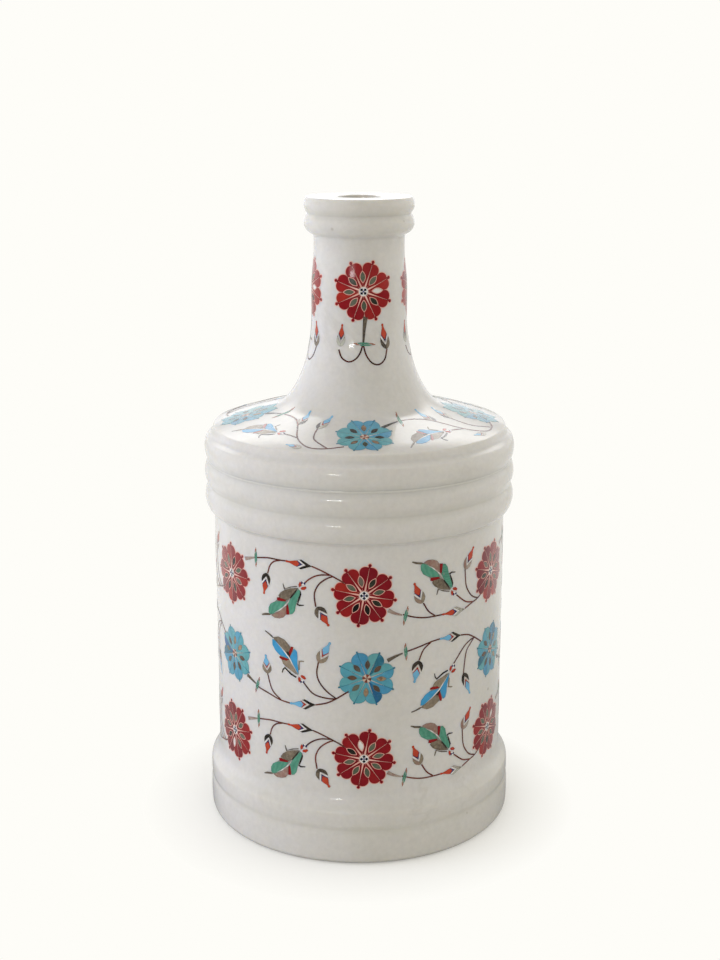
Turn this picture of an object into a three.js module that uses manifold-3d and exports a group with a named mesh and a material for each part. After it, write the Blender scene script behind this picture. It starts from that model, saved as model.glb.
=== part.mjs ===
// Marble bottle vase with inlaid flowers, in millimetres, +Z up, standing on Z = 0 about the Z axis.
// A hollow turned drum and a turned shoulder with its neck are cemented at a register hidden in a groove,
// and every flower and leaf is a flat hard-stone chip set flush in its own pocket in the marble.
// Azimuths are in degrees from the front, -Y, turning towards +X.
import * as THREE from "three";
import { mergeVertices } from "three/addons/utils/BufferGeometryUtils.js";
import Module from "manifold-3d";

// Cement joint between the two marbles, and round and under every chip
const cementGap = 0.3;

// Plain wall of the drum, from which the mouldings stand out
const wallRadius = 70.8;
const wallHeight = 118.3;

// Plinth and foot
const plinthStand = 4.5;
const plinthHeight = 17.6;
const plinthEdgeRound = 3.5;
const scribedGrooveDepth = 0.7;
const scribedGrooveWidth = 1.4;
const footStand = 4.4;
const footCrestRise = 4.6;
const footSweepHeight = 14.1;
const footSweepLift = 6.3;
const footSweepDrop = 5.2;

// Turned rings, two on the drum and one on the shoulder piece
const drumRings = 2;
const ringStand = 4.3;
const ringPitch = 11.9;
const ringSection = 11;

// Shoulder: a quirk and cove above the last ring, then a shallow cone
const ringTopRise = 4.9;
const coveHeight = 4.7;
const coveInset = 4.4;
const coveDepth = 1.4;
const shoulderEdgeRound = 1.1;
const shoulderSlope = 16.1;

// Flare and neck
const flareRadius = 40;
const flareHeight = 44.7;
const flareFootReach = 7.8;
const flareNeckReach = 24.2;
const neckRadius = 22.7;
const neckStraight = 11;
const throatRadius = 21.5;
const throatRise = 19;
const throatReach = 7.6;
const throatStraight = 7.2;

// Two-bead rim
const rimRadius = 26.15;
const rimBeadSection = 5.6;
const rimBeadPitch = 8.4;
const rimUnderside = 4.9;
const rimQuirk = 0.5;
const rimTopRise = 3.43;
const mouthRadius = 10;
const mouthEase = 0.8;

// Hollow, and the register that seats the shoulder in the drum
const wallThickness = 12.8;
const floorThickness = 14;
const floorFillet = 6;
const spigotLength = 6;
const spigotWall = 8;
const crownThickness = 10;

// Flowers
const petals = 8;
const redRowPetalAngle = 34.5;
const middleRowPetalAngle = 19.5;
const shoulderPetalAngle = 22.5;
const neckPetalAngle = 25;
const chipThickness = 2;
const redRowFlowerRadius = 14.7;
const middleRowFlowerRadius = 13.6;
const wallFlowers = 6;
const redRowAzimuth = 1.8;
const middleRowAzimuth = 2.8;
const lowestRowRise = 16;
const highestRowDrop = 22.4;
const shoulderFlowerRadius = 14.1;
const shoulderFlowerAzimuth = 2.5;
const shoulderSideAngle = 84.5;
const neckFlowerRadius = 14.6;
const neckFlowers = 4;
const neckFlowerAzimuth = 4.9;
const neckFlowerDrop = 25;
const neckInnerShare = 0.6;

// Leaves, which hang from or rise to a vine between two flowers
const leafLength = 27.3;
const leafWidth = 9.8;
const wallLeafBackset = 29.4;
const wallLeafRise = 2.1;
const wallLeafAngle = 38;
const shoulderLeafLength = 23.8;
const shoulderLeafWidth = 7.5;
const shoulderLeafAzimuth = 38;
const shoulderLeafOutset = 2.7;
const shoulderLeafAngle = 10;

// Fineness of the turned surfaces
const facets = 40;

const degrees = THREE.MathUtils.degToRad;

// Radii that follow from the wall's
const plinthRadius = wallRadius + plinthStand;
const footRadius = wallRadius + footStand;
const ringRadius = wallRadius + ringStand;
const coveRadius = ringRadius - coveInset;
const cavityRadius = wallRadius - wallThickness;

// Heights that follow from the sections, from the table up
const footCrestHeight = plinthHeight + footCrestRise;
const wallBottom = footCrestHeight + footSweepHeight;
const wallTop = wallBottom + wallHeight;
const firstRingHeight = wallTop + Math.sqrt(ringSection ** 2 - (ringSection - ringStand) ** 2);
const shoulderRingHeight = firstRingHeight + drumRings * ringPitch;
const coveBottom = shoulderRingHeight + ringTopRise;
const coveTop = coveBottom + coveHeight;
const coneRadius = coveRadius - shoulderEdgeRound;
const coneHeight = coveTop + shoulderEdgeRound;
const coneRise = Math.tan(degrees(shoulderSlope));
const flareBottom = coneHeight + (coneRadius - flareRadius) * coneRise;
const neckBottom = flareBottom + flareHeight;
const neckBend = neckBottom + neckStraight;
const throatHeight = neckBend + throatRise;
const rimBottom = throatHeight + throatStraight;
const lowerBeadHeight = rimBottom + rimUnderside;
const upperBeadHeight = lowerBeadHeight + rimBeadPitch;
const topHeight = upperBeadHeight + rimTopRise;

const point = (radius, height) => new THREE.Vector2(radius, height);

// Points of a cubic curve between two ends, without its first point.
function sweep(start, startHandle, endHandle, end, steps) {
  return new THREE.CubicBezierCurve(start, startHandle, endHandle, end).getPoints(steps).slice(1);
}

// Radius of a round moulding at a height away from its crest.
function beadRadius(crestRadius, section, offset) {
  return crestRadius - section + Math.sqrt(section ** 2 - offset ** 2);
}

// Points up a round moulding, evenly spaced between two heights measured from its crest.
function bead(crestRadius, crestHeight, section, from, to, steps) {
  const points = [];
  for (let i = 0; i <= steps; i++) {
    const offset = from + ((to - from) * i) / steps;
    points.push(point(beadRadius(crestRadius, section, offset), crestHeight + offset));
  }
  return points;
}

// Outside of the drum, from the middle of its underside up to the seam.
function drumOutside() {
  const round = plinthEdgeRound;
  const profile = [
    point(0, 0),
    point(plinthRadius - round, 0),
    point(plinthRadius - round * (1 - Math.SQRT1_2), round * (1 - Math.SQRT1_2)),
    point(plinthRadius, round),
    point(plinthRadius, plinthHeight - scribedGrooveWidth / 2),
    point(plinthRadius - scribedGrooveDepth, plinthHeight),
    point(footRadius, plinthHeight + scribedGrooveWidth / 2),
    point(footRadius, footCrestHeight),
  ];
  const sweepStart = point(footRadius, footCrestHeight + footSweepLift);
  const sweepEnd = point(wallRadius, wallBottom - footSweepDrop);
  profile.push(...sweep(profile.at(-1), sweepStart, sweepEnd, point(wallRadius, wallBottom), 4));
  profile.push(point(wallRadius, wallTop));
  for (let i = 0; i < drumRings; i++) {
    const crest = firstRingHeight + i * ringPitch;
    const from = i === 0 ? wallTop - crest : -ringPitch / 2;
    const to = i === drumRings - 1 ? ringPitch / 2 - cementGap / 2 : ringPitch / 2;
    profile.push(...bead(ringRadius, crest, ringSection, from, to, i === 0 ? 5 : 4).slice(1));
  }
  return profile;
}

// The drum closes over its rim, down the cavity and across the floor to the axis.
function drumProfile() {
  const profile = drumOutside();
  const fillet = floorFillet * (1 - Math.SQRT1_2);
  profile.push(
    point(cavityRadius, profile.at(-1).y),
    point(cavityRadius, floorThickness + floorFillet),
    point(cavityRadius - fillet, floorThickness + fillet),
    point(cavityRadius - floorFillet, floorThickness),
    point(0, floorThickness),
  );
  return profile;
}

// Neck from the foot of the flare to the rim's underside.
function neckOutside() {
  const foot = point(flareRadius, flareBottom);
  const footHandle = point(flareRadius - flareFootReach, flareBottom + flareFootReach * coneRise);
  const neckHandle = point(neckRadius, neckBottom - flareNeckReach);
  return [
    foot,
    ...sweep(foot, footHandle, neckHandle, point(neckRadius, neckBottom), 6),
    ...sweep(
      point(neckRadius, neckBend),
      point(neckRadius, neckBend + throatReach),
      point(throatRadius, throatHeight - throatReach),
      point(throatRadius, throatHeight),
      3,
    ),
    point(throatRadius, rimBottom),
  ];
}

// Outside of the shoulder piece, from the seam up over the rim to the mouth.
function shoulderOutside() {
  const seam = -ringPitch / 2 + cementGap / 2;
  const profile = bead(ringRadius, shoulderRingHeight, ringSection, seam, ringTopRise, 5);
  const edge = profile.at(-1);
  const coveHandle = point(coveRadius, coveBottom + coveDepth);
  profile.push(...sweep(edge, coveHandle, coveHandle, point(coveRadius, coveTop), 2));
  profile.push(point(coneRadius, coneHeight), ...neckOutside());
  const half = rimBeadPitch / 2;
  profile.push(
    ...bead(rimRadius, lowerBeadHeight, rimBeadSection, rimQuirk - rimUnderside, half, 4),
    ...bead(rimRadius, upperBeadHeight, rimBeadSection, -half, rimTopRise, 4).slice(1),
    point(mouthRadius + mouthEase, topHeight),
    point(mouthRadius, topHeight - mouthEase),
  );
  return profile;
}

// The shoulder piece closes down its bore, under its crown and round the spigot.
function shoulderProfile() {
  const outside = shoulderOutside();
  const seam = outside[0];
  const spigotRadius = cavityRadius - cementGap;
  const crownUnderside = coneHeight - crownThickness;
  const boreBottom = crownUnderside + (spigotRadius - spigotWall - mouthRadius) * coneRise;
  return [
    ...outside,
    point(mouthRadius, boreBottom),
    point(spigotRadius - spigotWall, crownUnderside),
    point(spigotRadius - spigotWall, seam.y - spigotLength),
    point(spigotRadius, seam.y - spigotLength),
    point(spigotRadius, seam.y),
    seam,
  ];
}

const wasm = await Module();
wasm.setup();
const mergeWithin = 1e-4;

// A closed geometry as a solid that can be cut: shared vertices merged, collapsed faces dropped.
function solidOf(geometry) {
  geometry.deleteAttribute("normal");
  geometry.deleteAttribute("uv");
  const merged = mergeVertices(geometry, mergeWithin);
  const corners = merged.index.array;
  const faces = [];
  for (let i = 0; i < corners.length; i += 3) {
    const [a, b, c] = corners.slice(i, i + 3);
    if (a !== b && b !== c && c !== a) faces.push(a, b, c);
  }
  const vertProperties = merged.attributes.position.array;
  return new wasm.Manifold(new wasm.Mesh({ numProp: 3, vertProperties, triVerts: Uint32Array.from(faces) }));
}

// A profile of radii and heights turned about the vertical axis, its first azimuth at the front.
function turned(profile) {
  return solidOf(new THREE.LatheGeometry(profile, facets).rotateX(Math.PI / 2));
}

// A place on the marble: across is millimetres to the right, rise is up the surface, lift is out of it.
function placeAt(azimuth, radius, height, lift) {
  const reach = radius + lift;
  return new THREE.Vector3(reach * Math.sin(azimuth), -reach * Math.cos(azimuth), height);
}

// The plain wall, unrolled about a centre.
function wallSurface(azimuth, height) {
  return (across, rise, lift) => placeAt(azimuth + across / wallRadius, wallRadius, height + rise, lift);
}

// The neck, whose radius at each height follows its turned outline.
function neckSurface(azimuth, height) {
  const outline = neckOutside();
  const radiusAt = (z) => {
    const above = outline.findIndex((p) => p.y > z);
    const [low, high] = [outline[above - 1], outline[above]];
    return THREE.MathUtils.mapLinear(z, low.y, high.y, low.x, high.x);
  };
  return (across, rise, lift) =>
    placeAt(azimuth + across / neckRadius, radiusAt(height + rise), height + rise, lift);
}

// The shoulder cone, which takes a flat chip laid square to its centre line.
function shoulderSurface(azimuth, radius) {
  const slope = degrees(shoulderSlope);
  return (across, rise, lift) => {
    const outward = radius - rise * Math.cos(slope);
    const reach = Math.hypot(across, outward);
    const height = coneHeight + (coneRadius - reach) * coneRise + lift * Math.cos(slope);
    return placeAt(azimuth + Math.atan2(across, outward), reach, height, lift * Math.sin(slope));
  };
}

// A chip or the cutter of its pocket: the outline laid on a surface between two lifts, as a fan about its
// centre. Where the surface curves tightly the fan is broken by an inner ring at a share of the outline,
// with one corner for every few of the outline's points.
function inlay(surface, outline, innerShare, below, above) {
  const count = outline.length;
  const centre = outline.reduce((sum, p) => sum.addScaledVector(p, 1 / count), point(0, 0));
  const ring = innerShare ? outline.filter((p, i) => i % petalPoints === 0) : [];
  const flat = [centre, ...ring.map((p) => centre.clone().lerp(p, innerShare)), ...outline];
  const vertices = [above, below].flatMap((lift) => flat.map((p) => surface(p.x, p.y, lift)));
  const skin = [];
  const rim = (i) => 1 + ring.length + (i % count);
  const inner = (i) => (ring.length ? 1 + (Math.round(i / petalPoints) % ring.length) : 0);
  for (let i = 0; i < count; i++) {
    skin.push([inner(i), rim(i), rim(i + 1)]);
    if (inner(i) !== inner(i + 1)) skin.push([inner(i), rim(i + 1), inner(i + 1)]);
  }
  ring.forEach((p, i) => skin.push([0, 1 + i, 1 + ((i + 1) % ring.length)]));
  const faces = skin.flatMap(([a, b, c]) => [a, b, c, flat.length + a, flat.length + c, flat.length + b]);
  for (let i = 0; i < count; i++) {
    const [top, nextTop] = [rim(i), rim(i + 1)];
    const [base, nextBase] = [flat.length + top, flat.length + nextTop];
    faces.push(top, base, nextBase, top, nextBase, nextTop);
  }
  return solidOf(new THREE.BufferGeometry().setFromPoints(vertices).setIndex(faces));
}

// An outline moved out square to its edges, with long points at sharp corners held back.
const leastMitre = 0.5;

function grown(outline, distance) {
  const count = outline.length;
  return outline.map((p, i) => {
    const before = p.clone().sub(outline[(i + count - 1) % count]).normalize();
    const after = outline[(i + 1) % count].clone().sub(p).normalize();
    const out = point(before.y + after.y, -before.x - after.x).normalize();
    const mitre = Math.max(out.x * after.y - out.y * after.x, leastMitre);
    return p.clone().addScaledVector(out, distance / mitre);
  });
}

// Rosette outline: each petal is a notch and two round shoulders, as shares of its turn and of the
// flower's radius.
const petalShape = [
  [-0.5, 0.76],
  [-0.19, 0.94],
  [0.19, 0.94],
];
const petalPoints = petalShape.length;

function rosette(radius, turn) {
  const outline = [];
  for (let i = 0; i < petals; i++) {
    for (const [share, reach] of petalShape) {
      const angle = degrees(turn) + ((i + share) * 2 * Math.PI) / petals;
      outline.push(point(reach * radius * Math.cos(angle), reach * radius * Math.sin(angle)));
    }
  }
  return outline;
}

// Compound leaf, as shares of its length from stalk to tip and of its width, fuller on its lower side.
const leafShape = [
  [0, 0.05],
  [0.1, -0.14],
  [0.31, -0.31],
  [0.46, -0.33],
  [0.56, -0.2],
  [0.78, -0.18],
  [1, 0.02],
  [0.79, 0.4],
  [0.7, 0.6],
  [0.56, 0.65],
  [0.37, 0.67],
  [0.12, 0.28],
];

// A leaf outline that runs back from its stalk at a lean below the level, or above it when rising.
function leaf(length, width, lean, rising) {
  const side = rising ? 1 : -1;
  const [run, fall] = [-Math.cos(degrees(lean)), side * Math.sin(degrees(lean))];
  const outline = leafShape.map(([along, across]) => {
    const [far, wide] = [along * length, across * width];
    return point(far * run + wide * side * fall, far * fall - wide * side * run);
  });
  return rising ? outline.reverse() : outline;
}

// Materials of the photographed finish
const stone = (color, roughness) => new THREE.MeshStandardMaterial({ color, roughness, metalness: 0 });
const whiteMarble = stone(0xe4e0d6, 0.25);
const carnelian = stone(0x96222a, 0.2);
const turquoise = stone(0x3f93ab, 0.25);
const malachite = stone(0x3d8668, 0.25);
const skyStone = stone(0x5b9fd0, 0.25);

const vase = new THREE.Group();
const pockets = { drum: [], shoulder: [] };

function addPiece(name, solid, material) {
  const { vertProperties, triVerts } = solid.getMesh();
  const geometry = new THREE.BufferGeometry();
  geometry.setAttribute("position", new THREE.BufferAttribute(vertProperties, 3));
  geometry.setIndex(new THREE.BufferAttribute(triVerts, 1));
  const mesh = new THREE.Mesh(geometry, material);
  mesh.name = name;
  vase.add(mesh);
}

// A chip flush with the marble, and the pocket that it is bedded in with cement round and under it.
function addChip(name, host, surface, outline, innerShare, material) {
  addPiece(name, inlay(surface, outline, innerShare, -chipThickness, 0), material);
  const bed = chipThickness + cementGap;
  pockets[host].push(inlay(surface, grown(outline, cementGap), innerShare, -bed, chipThickness));
}

// Rows on the wall: red, turquoise and red. Vines hang in one gap and rise in the next, and the middle
// row does the opposite.
const wallPitch = 360 / wallFlowers;
const redRow = {
  azimuth: redRowAzimuth,
  radius: redRowFlowerRadius,
  turn: redRowPetalAngle,
  petalStone: carnelian,
  leafStone: malachite,
};
const wallRows = [
  { ...redRow, name: "lower", level: 0 },
  {
    name: "middle",
    level: 1,
    azimuth: middleRowAzimuth,
    radius: middleRowFlowerRadius,
    turn: middleRowPetalAngle,
    petalStone: turquoise,
    leafStone: skyStone,
  },
  { ...redRow, name: "upper", level: 2 },
];
const lowestRow = wallBottom + lowestRowRise;
const rowPitch = (wallTop - highestRowDrop - lowestRow) / (wallRows.length - 1);
for (const row of wallRows) {
  const height = lowestRow + row.level * rowPitch;
  for (let i = 0; i < wallFlowers; i++) {
    const surface = wallSurface(degrees(row.azimuth + i * wallPitch), height);
    const flower = rosette(row.radius, row.turn);
    addChip(`${row.name}_flower_${i + 1}`, "drum", surface, flower, 0, row.petalStone);
    const rising = (i + row.level) % 2 === 1;
    const stalk = point(-wallLeafBackset, rising ? -wallLeafRise : wallLeafRise);
    const outline = leaf(leafLength, leafWidth, wallLeafAngle, rising).map((p) => p.add(stalk));
    addChip(`${row.name}_leaf_${i + 1}`, "drum", surface, outline, 0, row.leafStone);
  }
}

// Four flowers on the shoulder, the side ones laid a little forward, and a leaf after each of them
const shoulderFlowerCircle = (coneRadius + flareRadius) / 2;
[0, shoulderSideAngle, 180, 360 - shoulderSideAngle].forEach((angle, i) => {
  const azimuth = shoulderFlowerAzimuth + angle;
  const flowerPlace = shoulderSurface(degrees(azimuth), shoulderFlowerCircle);
  const flower = rosette(shoulderFlowerRadius, shoulderPetalAngle);
  addChip(`shoulder_flower_${i + 1}`, "shoulder", flowerPlace, flower, 0, turquoise);
  const leafPlace = shoulderSurface(
    degrees(azimuth + shoulderLeafAzimuth),
    shoulderFlowerCircle + shoulderLeafOutset,
  );
  const outline = leaf(shoulderLeafLength, shoulderLeafWidth, shoulderLeafAngle, false);
  addChip(`shoulder_leaf_${i + 1}`, "shoulder", leafPlace, outline, 0, skyStone);
});

// Four flowers round the neck, on a surface so tight that each chip has an inner ring
for (let i = 0; i < neckFlowers; i++) {
  const azimuth = neckFlowerAzimuth + (i * 360) / neckFlowers;
  const surface = neckSurface(degrees(azimuth), rimBottom - neckFlowerDrop);
  const flower = rosette(neckFlowerRadius, neckPetalAngle);
  addChip(`neck_flower_${i + 1}`, "shoulder", surface, flower, neckInnerShare, carnelian);
}

const cut = (body, cutters) => cutters.reduce((solid, cutter) => solid.subtract(cutter), body);
addPiece("drum", cut(turned(drumProfile()), pockets.drum), whiteMarble);
addPiece("shoulder_neck", cut(turned(shoulderProfile()), pockets.shoulder), whiteMarble);

export default vase;
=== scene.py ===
# Inlaid marble bottle vase: two turned marble bodies, hard stones cut and laid flush in them as
# flowers, leaves and vines, and a plain pale studio. Metres, +Z up, standing on Z = 0, with the
# front at -Y. Azimuths are measured from the front, turning towards +X.

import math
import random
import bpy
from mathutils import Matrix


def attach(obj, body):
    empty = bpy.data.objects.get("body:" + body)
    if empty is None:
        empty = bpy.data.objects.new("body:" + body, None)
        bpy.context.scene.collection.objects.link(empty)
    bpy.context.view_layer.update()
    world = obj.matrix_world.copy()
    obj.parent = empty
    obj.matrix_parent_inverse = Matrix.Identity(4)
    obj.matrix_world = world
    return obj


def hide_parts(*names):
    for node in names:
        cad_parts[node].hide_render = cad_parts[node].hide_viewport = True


bl_info = {
    "name": "Inlaid Marble Vase",
    "version": (1, 0, 0),
    "blender": (4, 5, 0),
    "location": "3D View > Sidebar > Vase",
    "description": "Turned marble bottle vase with flowers and vines of hard stone laid in it",
    "category": "Object",
}

from collections import namedtuple

import bmesh
import bpy
from bpy.props import FloatProperty, FloatVectorProperty, IntProperty, PointerProperty
from mathutils import Vector
from mathutils.geometry import delaunay_2d_cdt, interpolate_bezier

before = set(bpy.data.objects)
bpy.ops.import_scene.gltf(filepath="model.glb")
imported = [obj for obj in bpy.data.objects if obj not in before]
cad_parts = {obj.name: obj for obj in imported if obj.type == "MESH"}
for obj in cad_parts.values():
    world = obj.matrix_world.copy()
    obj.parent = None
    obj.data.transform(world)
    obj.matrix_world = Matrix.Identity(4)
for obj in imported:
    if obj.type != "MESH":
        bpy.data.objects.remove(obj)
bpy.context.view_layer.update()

# Outlines and drawings are in millimetres, and become metres as their vertices are made
MM = 0.001


def mm(length):
    """Millimetres of a length in metres."""
    return length / MM


def node_place(name):
    """Azimuth, radius and height of a construction node's middle, the lengths in millimetres."""
    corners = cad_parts[name].data.vertices
    middle = sum((v.co for v in corners), Vector()) / len(corners)
    return math.atan2(middle.x, -middle.y), mm(math.hypot(middle.x, middle.y)), mm(middle.z)


def display(red, green, blue):
    """Scene colour of a colour written in eight-bit display values."""
    shares = [value / 255 for value in (red, green, blue)]
    return tuple(s / 12.92 if s <= 0.04045 else ((s + 0.055) / 1.055) ** 2.4 for s in shares)


def size(name, description, millimetres):
    """A length that a user may change."""
    given = {"name": name, "description": description, "default": millimetres * MM}
    return FloatProperty(**given, min=0, unit="LENGTH", precision=5)


def colour(name, description, *shade):
    """A colour that a user may change, its default in display values."""
    given = {"name": name, "description": description, "default": display(*shade)}
    return FloatVectorProperty(**given, min=0, max=1, subtype="COLOR")


def power(name, description, watts):
    """A lamp's power that a user may change."""
    return FloatProperty(name=name, description=description, default=watts, unit="POWER")


class TurningSizes(bpy.types.PropertyGroup):
    """Sizes of the turned marble."""

    wall_radius: size("Wall Radius", "Plain wall of the drum", 70.8)
    plinth_radius: size("Plinth Radius", "Plinth under the foot moulding", 75.3)
    foot_radius: size("Foot Radius", "Crest of the foot moulding", 75.2)
    ring_radius: size("Ring Radius", "Crests of the three rings", 75.1)
    ring_section: size("Ring Section", "Radius of a ring's round profile", 11)
    ring_pitch: size("Ring Pitch", "Height from one ring's crest to the next", 11.9)
    cove_radius: size("Cove Radius", "Top of the cove above the rings", 70.7)
    flare_radius: size("Flare Radius", "Where the shoulder turns up into the neck", 40)
    neck_radius: size("Neck Radius", "Straight part of the neck", 22.7)
    throat_radius: size("Throat Radius", "Narrowest part, under the rim", 21.5)
    rim_radius: size("Rim Radius", "Crests of the rim's two beads", 26.15)
    bead_section: size("Bead Section", "Radius of a rim bead's round profile", 5.6)
    bead_pitch: size("Bead Pitch", "Height from one rim bead's crest to the other's", 8.4)
    mouth_radius: size("Mouth Radius", "Bore of the neck", 10)
    cavity_radius: size("Cavity Radius", "Hollow of the drum", 58)
    wander: size("Wander", "How far the hand-turned mouldings run out of round", 0.3)
    segments: IntProperty(
        name="Segments", description="Steps round the marble", default=320, min=16
    )


class InlaySizes(bpy.types.PropertyGroup):
    """Sizes of the stones laid in the marble."""

    depth: size("Stone Depth", "How deep a chip sits in the marble", 1.2)
    proud: size("Stone Rise", "How far a polished chip stands above the marble", 0.05)
    bed_width: size("Bed Width", "Cement that shows round a red flower", 0.34)
    red_flower: size("Red Flower", "Reach of a red flower's petal tips", 15.2)
    blue_flower: size("Blue Flower", "Reach of a blue flower's petal tips", 14.1)
    neck_flower: size("Neck Flower", "Reach of a neck flower's petal tips", 14.8)
    shoulder_flower: size("Shoulder Flower", "Reach of a shoulder flower's petal tips", 14.1)
    stem: size("Stem", "Width of a vine's stem", 0.68)
    seed: IntProperty(name="Seed", description="Choice of the stones' shades", default=7, min=0)


class StoneColours(bpy.types.PropertyGroup):
    """Colours of the marble and of the stones."""

    marble: colour("Marble", "Ground of the white marble", 222, 219, 214)
    marble_cloud: colour("Marble Cloud", "Greyer clouds in the marble", 208, 205, 194)
    marble_vein: colour("Marble Vein", "Thin veins in the marble", 178, 173, 156)
    marble_speck: colour("Marble Speck", "Small grains in the marble", 124, 106, 76)
    # The groove colour is painted shade, laid on the marble near the grooves
    groove: colour("Groove", "Marble down in the grooves", 206, 203, 188)
    crimson: colour("Crimson", "Darkest carnelian", 120, 10, 28)
    carnelian: colour("Carnelian", "Usual carnelian", 142, 17, 27)
    flame: colour("Flame", "Lightest carnelian", 168, 42, 32)
    jasper: colour("Orange Jasper", "Bud tips and berries", 192, 72, 46)
    rose: colour("Rose Quartz", "Midribs of the red petals", 228, 168, 152)
    lagoon: colour("Green Turquoise", "Greenest turquoise", 100, 166, 168)
    teal: colour("Teal", "Darkest turquoise", 44, 108, 126)
    turquoise: colour("Turquoise", "Usual turquoise", 84, 158, 182)
    deep_blue: colour("Deep Blue", "Rare dark halves of blue petals", 38, 98, 148)
    sky: colour("Sky Stone", "Leaves and bud tips of the blue rows", 72, 160, 204)
    malachite: colour("Malachite", "Green lobes and ties", 86, 150, 126)
    malachite_band: colour("Malachite Band", "Darker bands of the malachite", 66, 130, 106)
    lapis: colour("Lapis", "Navy chevrons and centres", 52, 50, 104)
    pearl: colour("Mother of Pearl", "White chevrons, midribs and centres", 226, 222, 216)
    onyx: colour("Onyx", "Black cups and tendrils", 34, 30, 26)
    taupe: colour("Taupe Stone", "Grey-brown lobes and cups", 126, 113, 95)
    rose_taupe: colour("Rose Taupe", "Pinker lobes", 150, 114, 102)
    sage: colour("Sage Stone", "Palest cups and stalks", 192, 192, 176)
    serpentine: colour("Serpentine", "Green-grey lozenges", 94, 104, 84)
    agate: colour("Brown Agate", "Brown lozenges", 106, 80, 64)
    ochre: colour("Ochre Agate", "Pale lozenges", 174, 148, 116)
    brown: colour("Brown Jasper", "Stems", 104, 50, 40)
    peach: colour("Peach Cement", "Bed of the red flowers", 238, 172, 156)
    grout: colour("Grey Cement", "Bed of leaves and seams", 128, 132, 124)
    blue_grout: colour("Blue Cement", "Bed of the blue flowers", 112, 152, 158)


class StudioSettings(bpy.types.PropertyGroup):
    """Floor, lamps and camera."""

    backdrop: colour("Backdrop", "Floor and background", 254, 253, 248)
    floor: colour("Floor", "Floor as the vase sees it", 220, 219, 214)
    room: colour("Room", "Tint of the even room light", 255, 252, 246)
    room_light: FloatProperty(
        name="Room Light", description="Strength of the even room light", default=0.63, min=0
    )
    key: colour("Key Tint", "Tint of the lamp at the left", 226, 232, 255)
    key_power: power("Key Light", "Large soft lamp at the left", 7.3)
    fill_power: power("Fill Light", "Soft lamp at the right", 2.0)
    front_power: power("Front Light", "Soft lamp behind the camera", 2.6)
    glint_power: power("Glint Light", "Small lamp in front at the left", 0.8)
    focal_length: FloatProperty(
        name="Focal Length", description="Lens of the camera", default=56.925, unit="CAMERA"
    )
    eye_height: size("Eye Height", "Height of the camera", 355.1)
    eye_distance: size("Eye Distance", "Distance from the camera to the vase's axis", 720.5)
    eye_pitch: FloatProperty(
        name="Eye Pitch",
        description="How far the camera looks down",
        default=math.radians(14.57),
        subtype="ANGLE",
    )


# Heights, depths and reaches of the turned outline, from the table up
UNDERSIDE_EDGE = 3
PLINTH_TOP = 17.6
PLINTH_ROUND = 3.5
PLINTH_BULGE = 0.2
GROOVE_DEPTH = 0.6
GROOVE_WIDTH = 4.6
FOOT_CREST = 22.2
FOOT_BEAD_TOP = 27.4
FOOT_BEAD_SIDE = 2
FOOT_BEAD_CORNER = 0.4
FOOT_QUIRK = 0.75
FOOT_QUIRK_RISE = 1.2
FOOT_SWEEP_DROP = 5.2
WALL_BOTTOM = 36.3
WALL_TOP = 154.6
DRUM_RINGS = 2
LOW_RING_STEP = 1.3
LOW_RING_FILLET = 1.3
RING_TOP_RISE = 4.9
COVE_HEIGHT = 4.7
COVE_DEPTH = 1.35
COVE_SLANT = 0.6
SHOULDER_EDGE = 1.1
SHOULDER_SLOPE = math.radians(16.1)
FLARE_HEIGHT = 44.7
FLARE_FOOT_REACH = 7.8
FLARE_NECK_REACH = 24.2
NECK_STRAIGHT = 11
THROAT_RISE = 19
THROAT_REACH = 7.6
THROAT_STRAIGHT = 7.2
# The throat's last half step is left to the quirk under the rim
THROAT_STEPS = 4.5
RIM_UNDERSIDE = 4.9
RIM_QUIRK = 0.5
RIM_TOP_RISE = 3.43
MOUTH_EASE = 0.8
SEAM_GAP = 0.3
FLOOR_THICKNESS = 14
FLOOR_FILLET = 6
CROWN_THICKNESS = 10
SPIGOT_LENGTH = 6
SPIGOT_WALL = 8
SEAM_LIFT = 0.3
SEAM_INNER = 2
SEAM_SMEAR = 0.5
SEAM_SWELL = 0.16
SEAM_SINK = 0.1
SEAM_BITE = 0.6

# How a corner is worn: how widely, in which steps, and how coarsely its curve is kept
POLISH = 0.55
POLISH_STEP = 0.25
POLISH_SAG = 0.014
LONGEST_SIDE = 9


def curve(start, start_handle, end_handle, end, steps):
    """Points of a cubic curve between two ends, without its first point."""
    knots = [Vector((*p, 0)) for p in (start, start_handle, end_handle, end)]
    return [(p.x, p.y) for p in interpolate_bezier(*knots, steps + 1)][1:]


def arc(centre, radius, start, end, steps):
    """Points of an arc between two angles in degrees."""
    angles = [math.radians(start + (end - start) * i / steps) for i in range(steps + 1)]
    return [(centre[0] + radius * math.cos(a), centre[1] + radius * math.sin(a)) for a in angles]


def quarter(centre, radius, start, steps=6):
    """Points of a quarter circle from a start angle in degrees, turning left."""
    return arc(centre, radius, start, start + 90, steps)


def bead(crest_radius, crest_height, section, low, high, steps):
    """Points up a round moulding between two heights measured from its crest."""
    offsets = [low + (high - low) * i / steps for i in range(steps + 1)]
    middle = crest_radius - section
    return [(middle + math.sqrt(section**2 - s**2), crest_height + s) for s in offsets]


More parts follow.
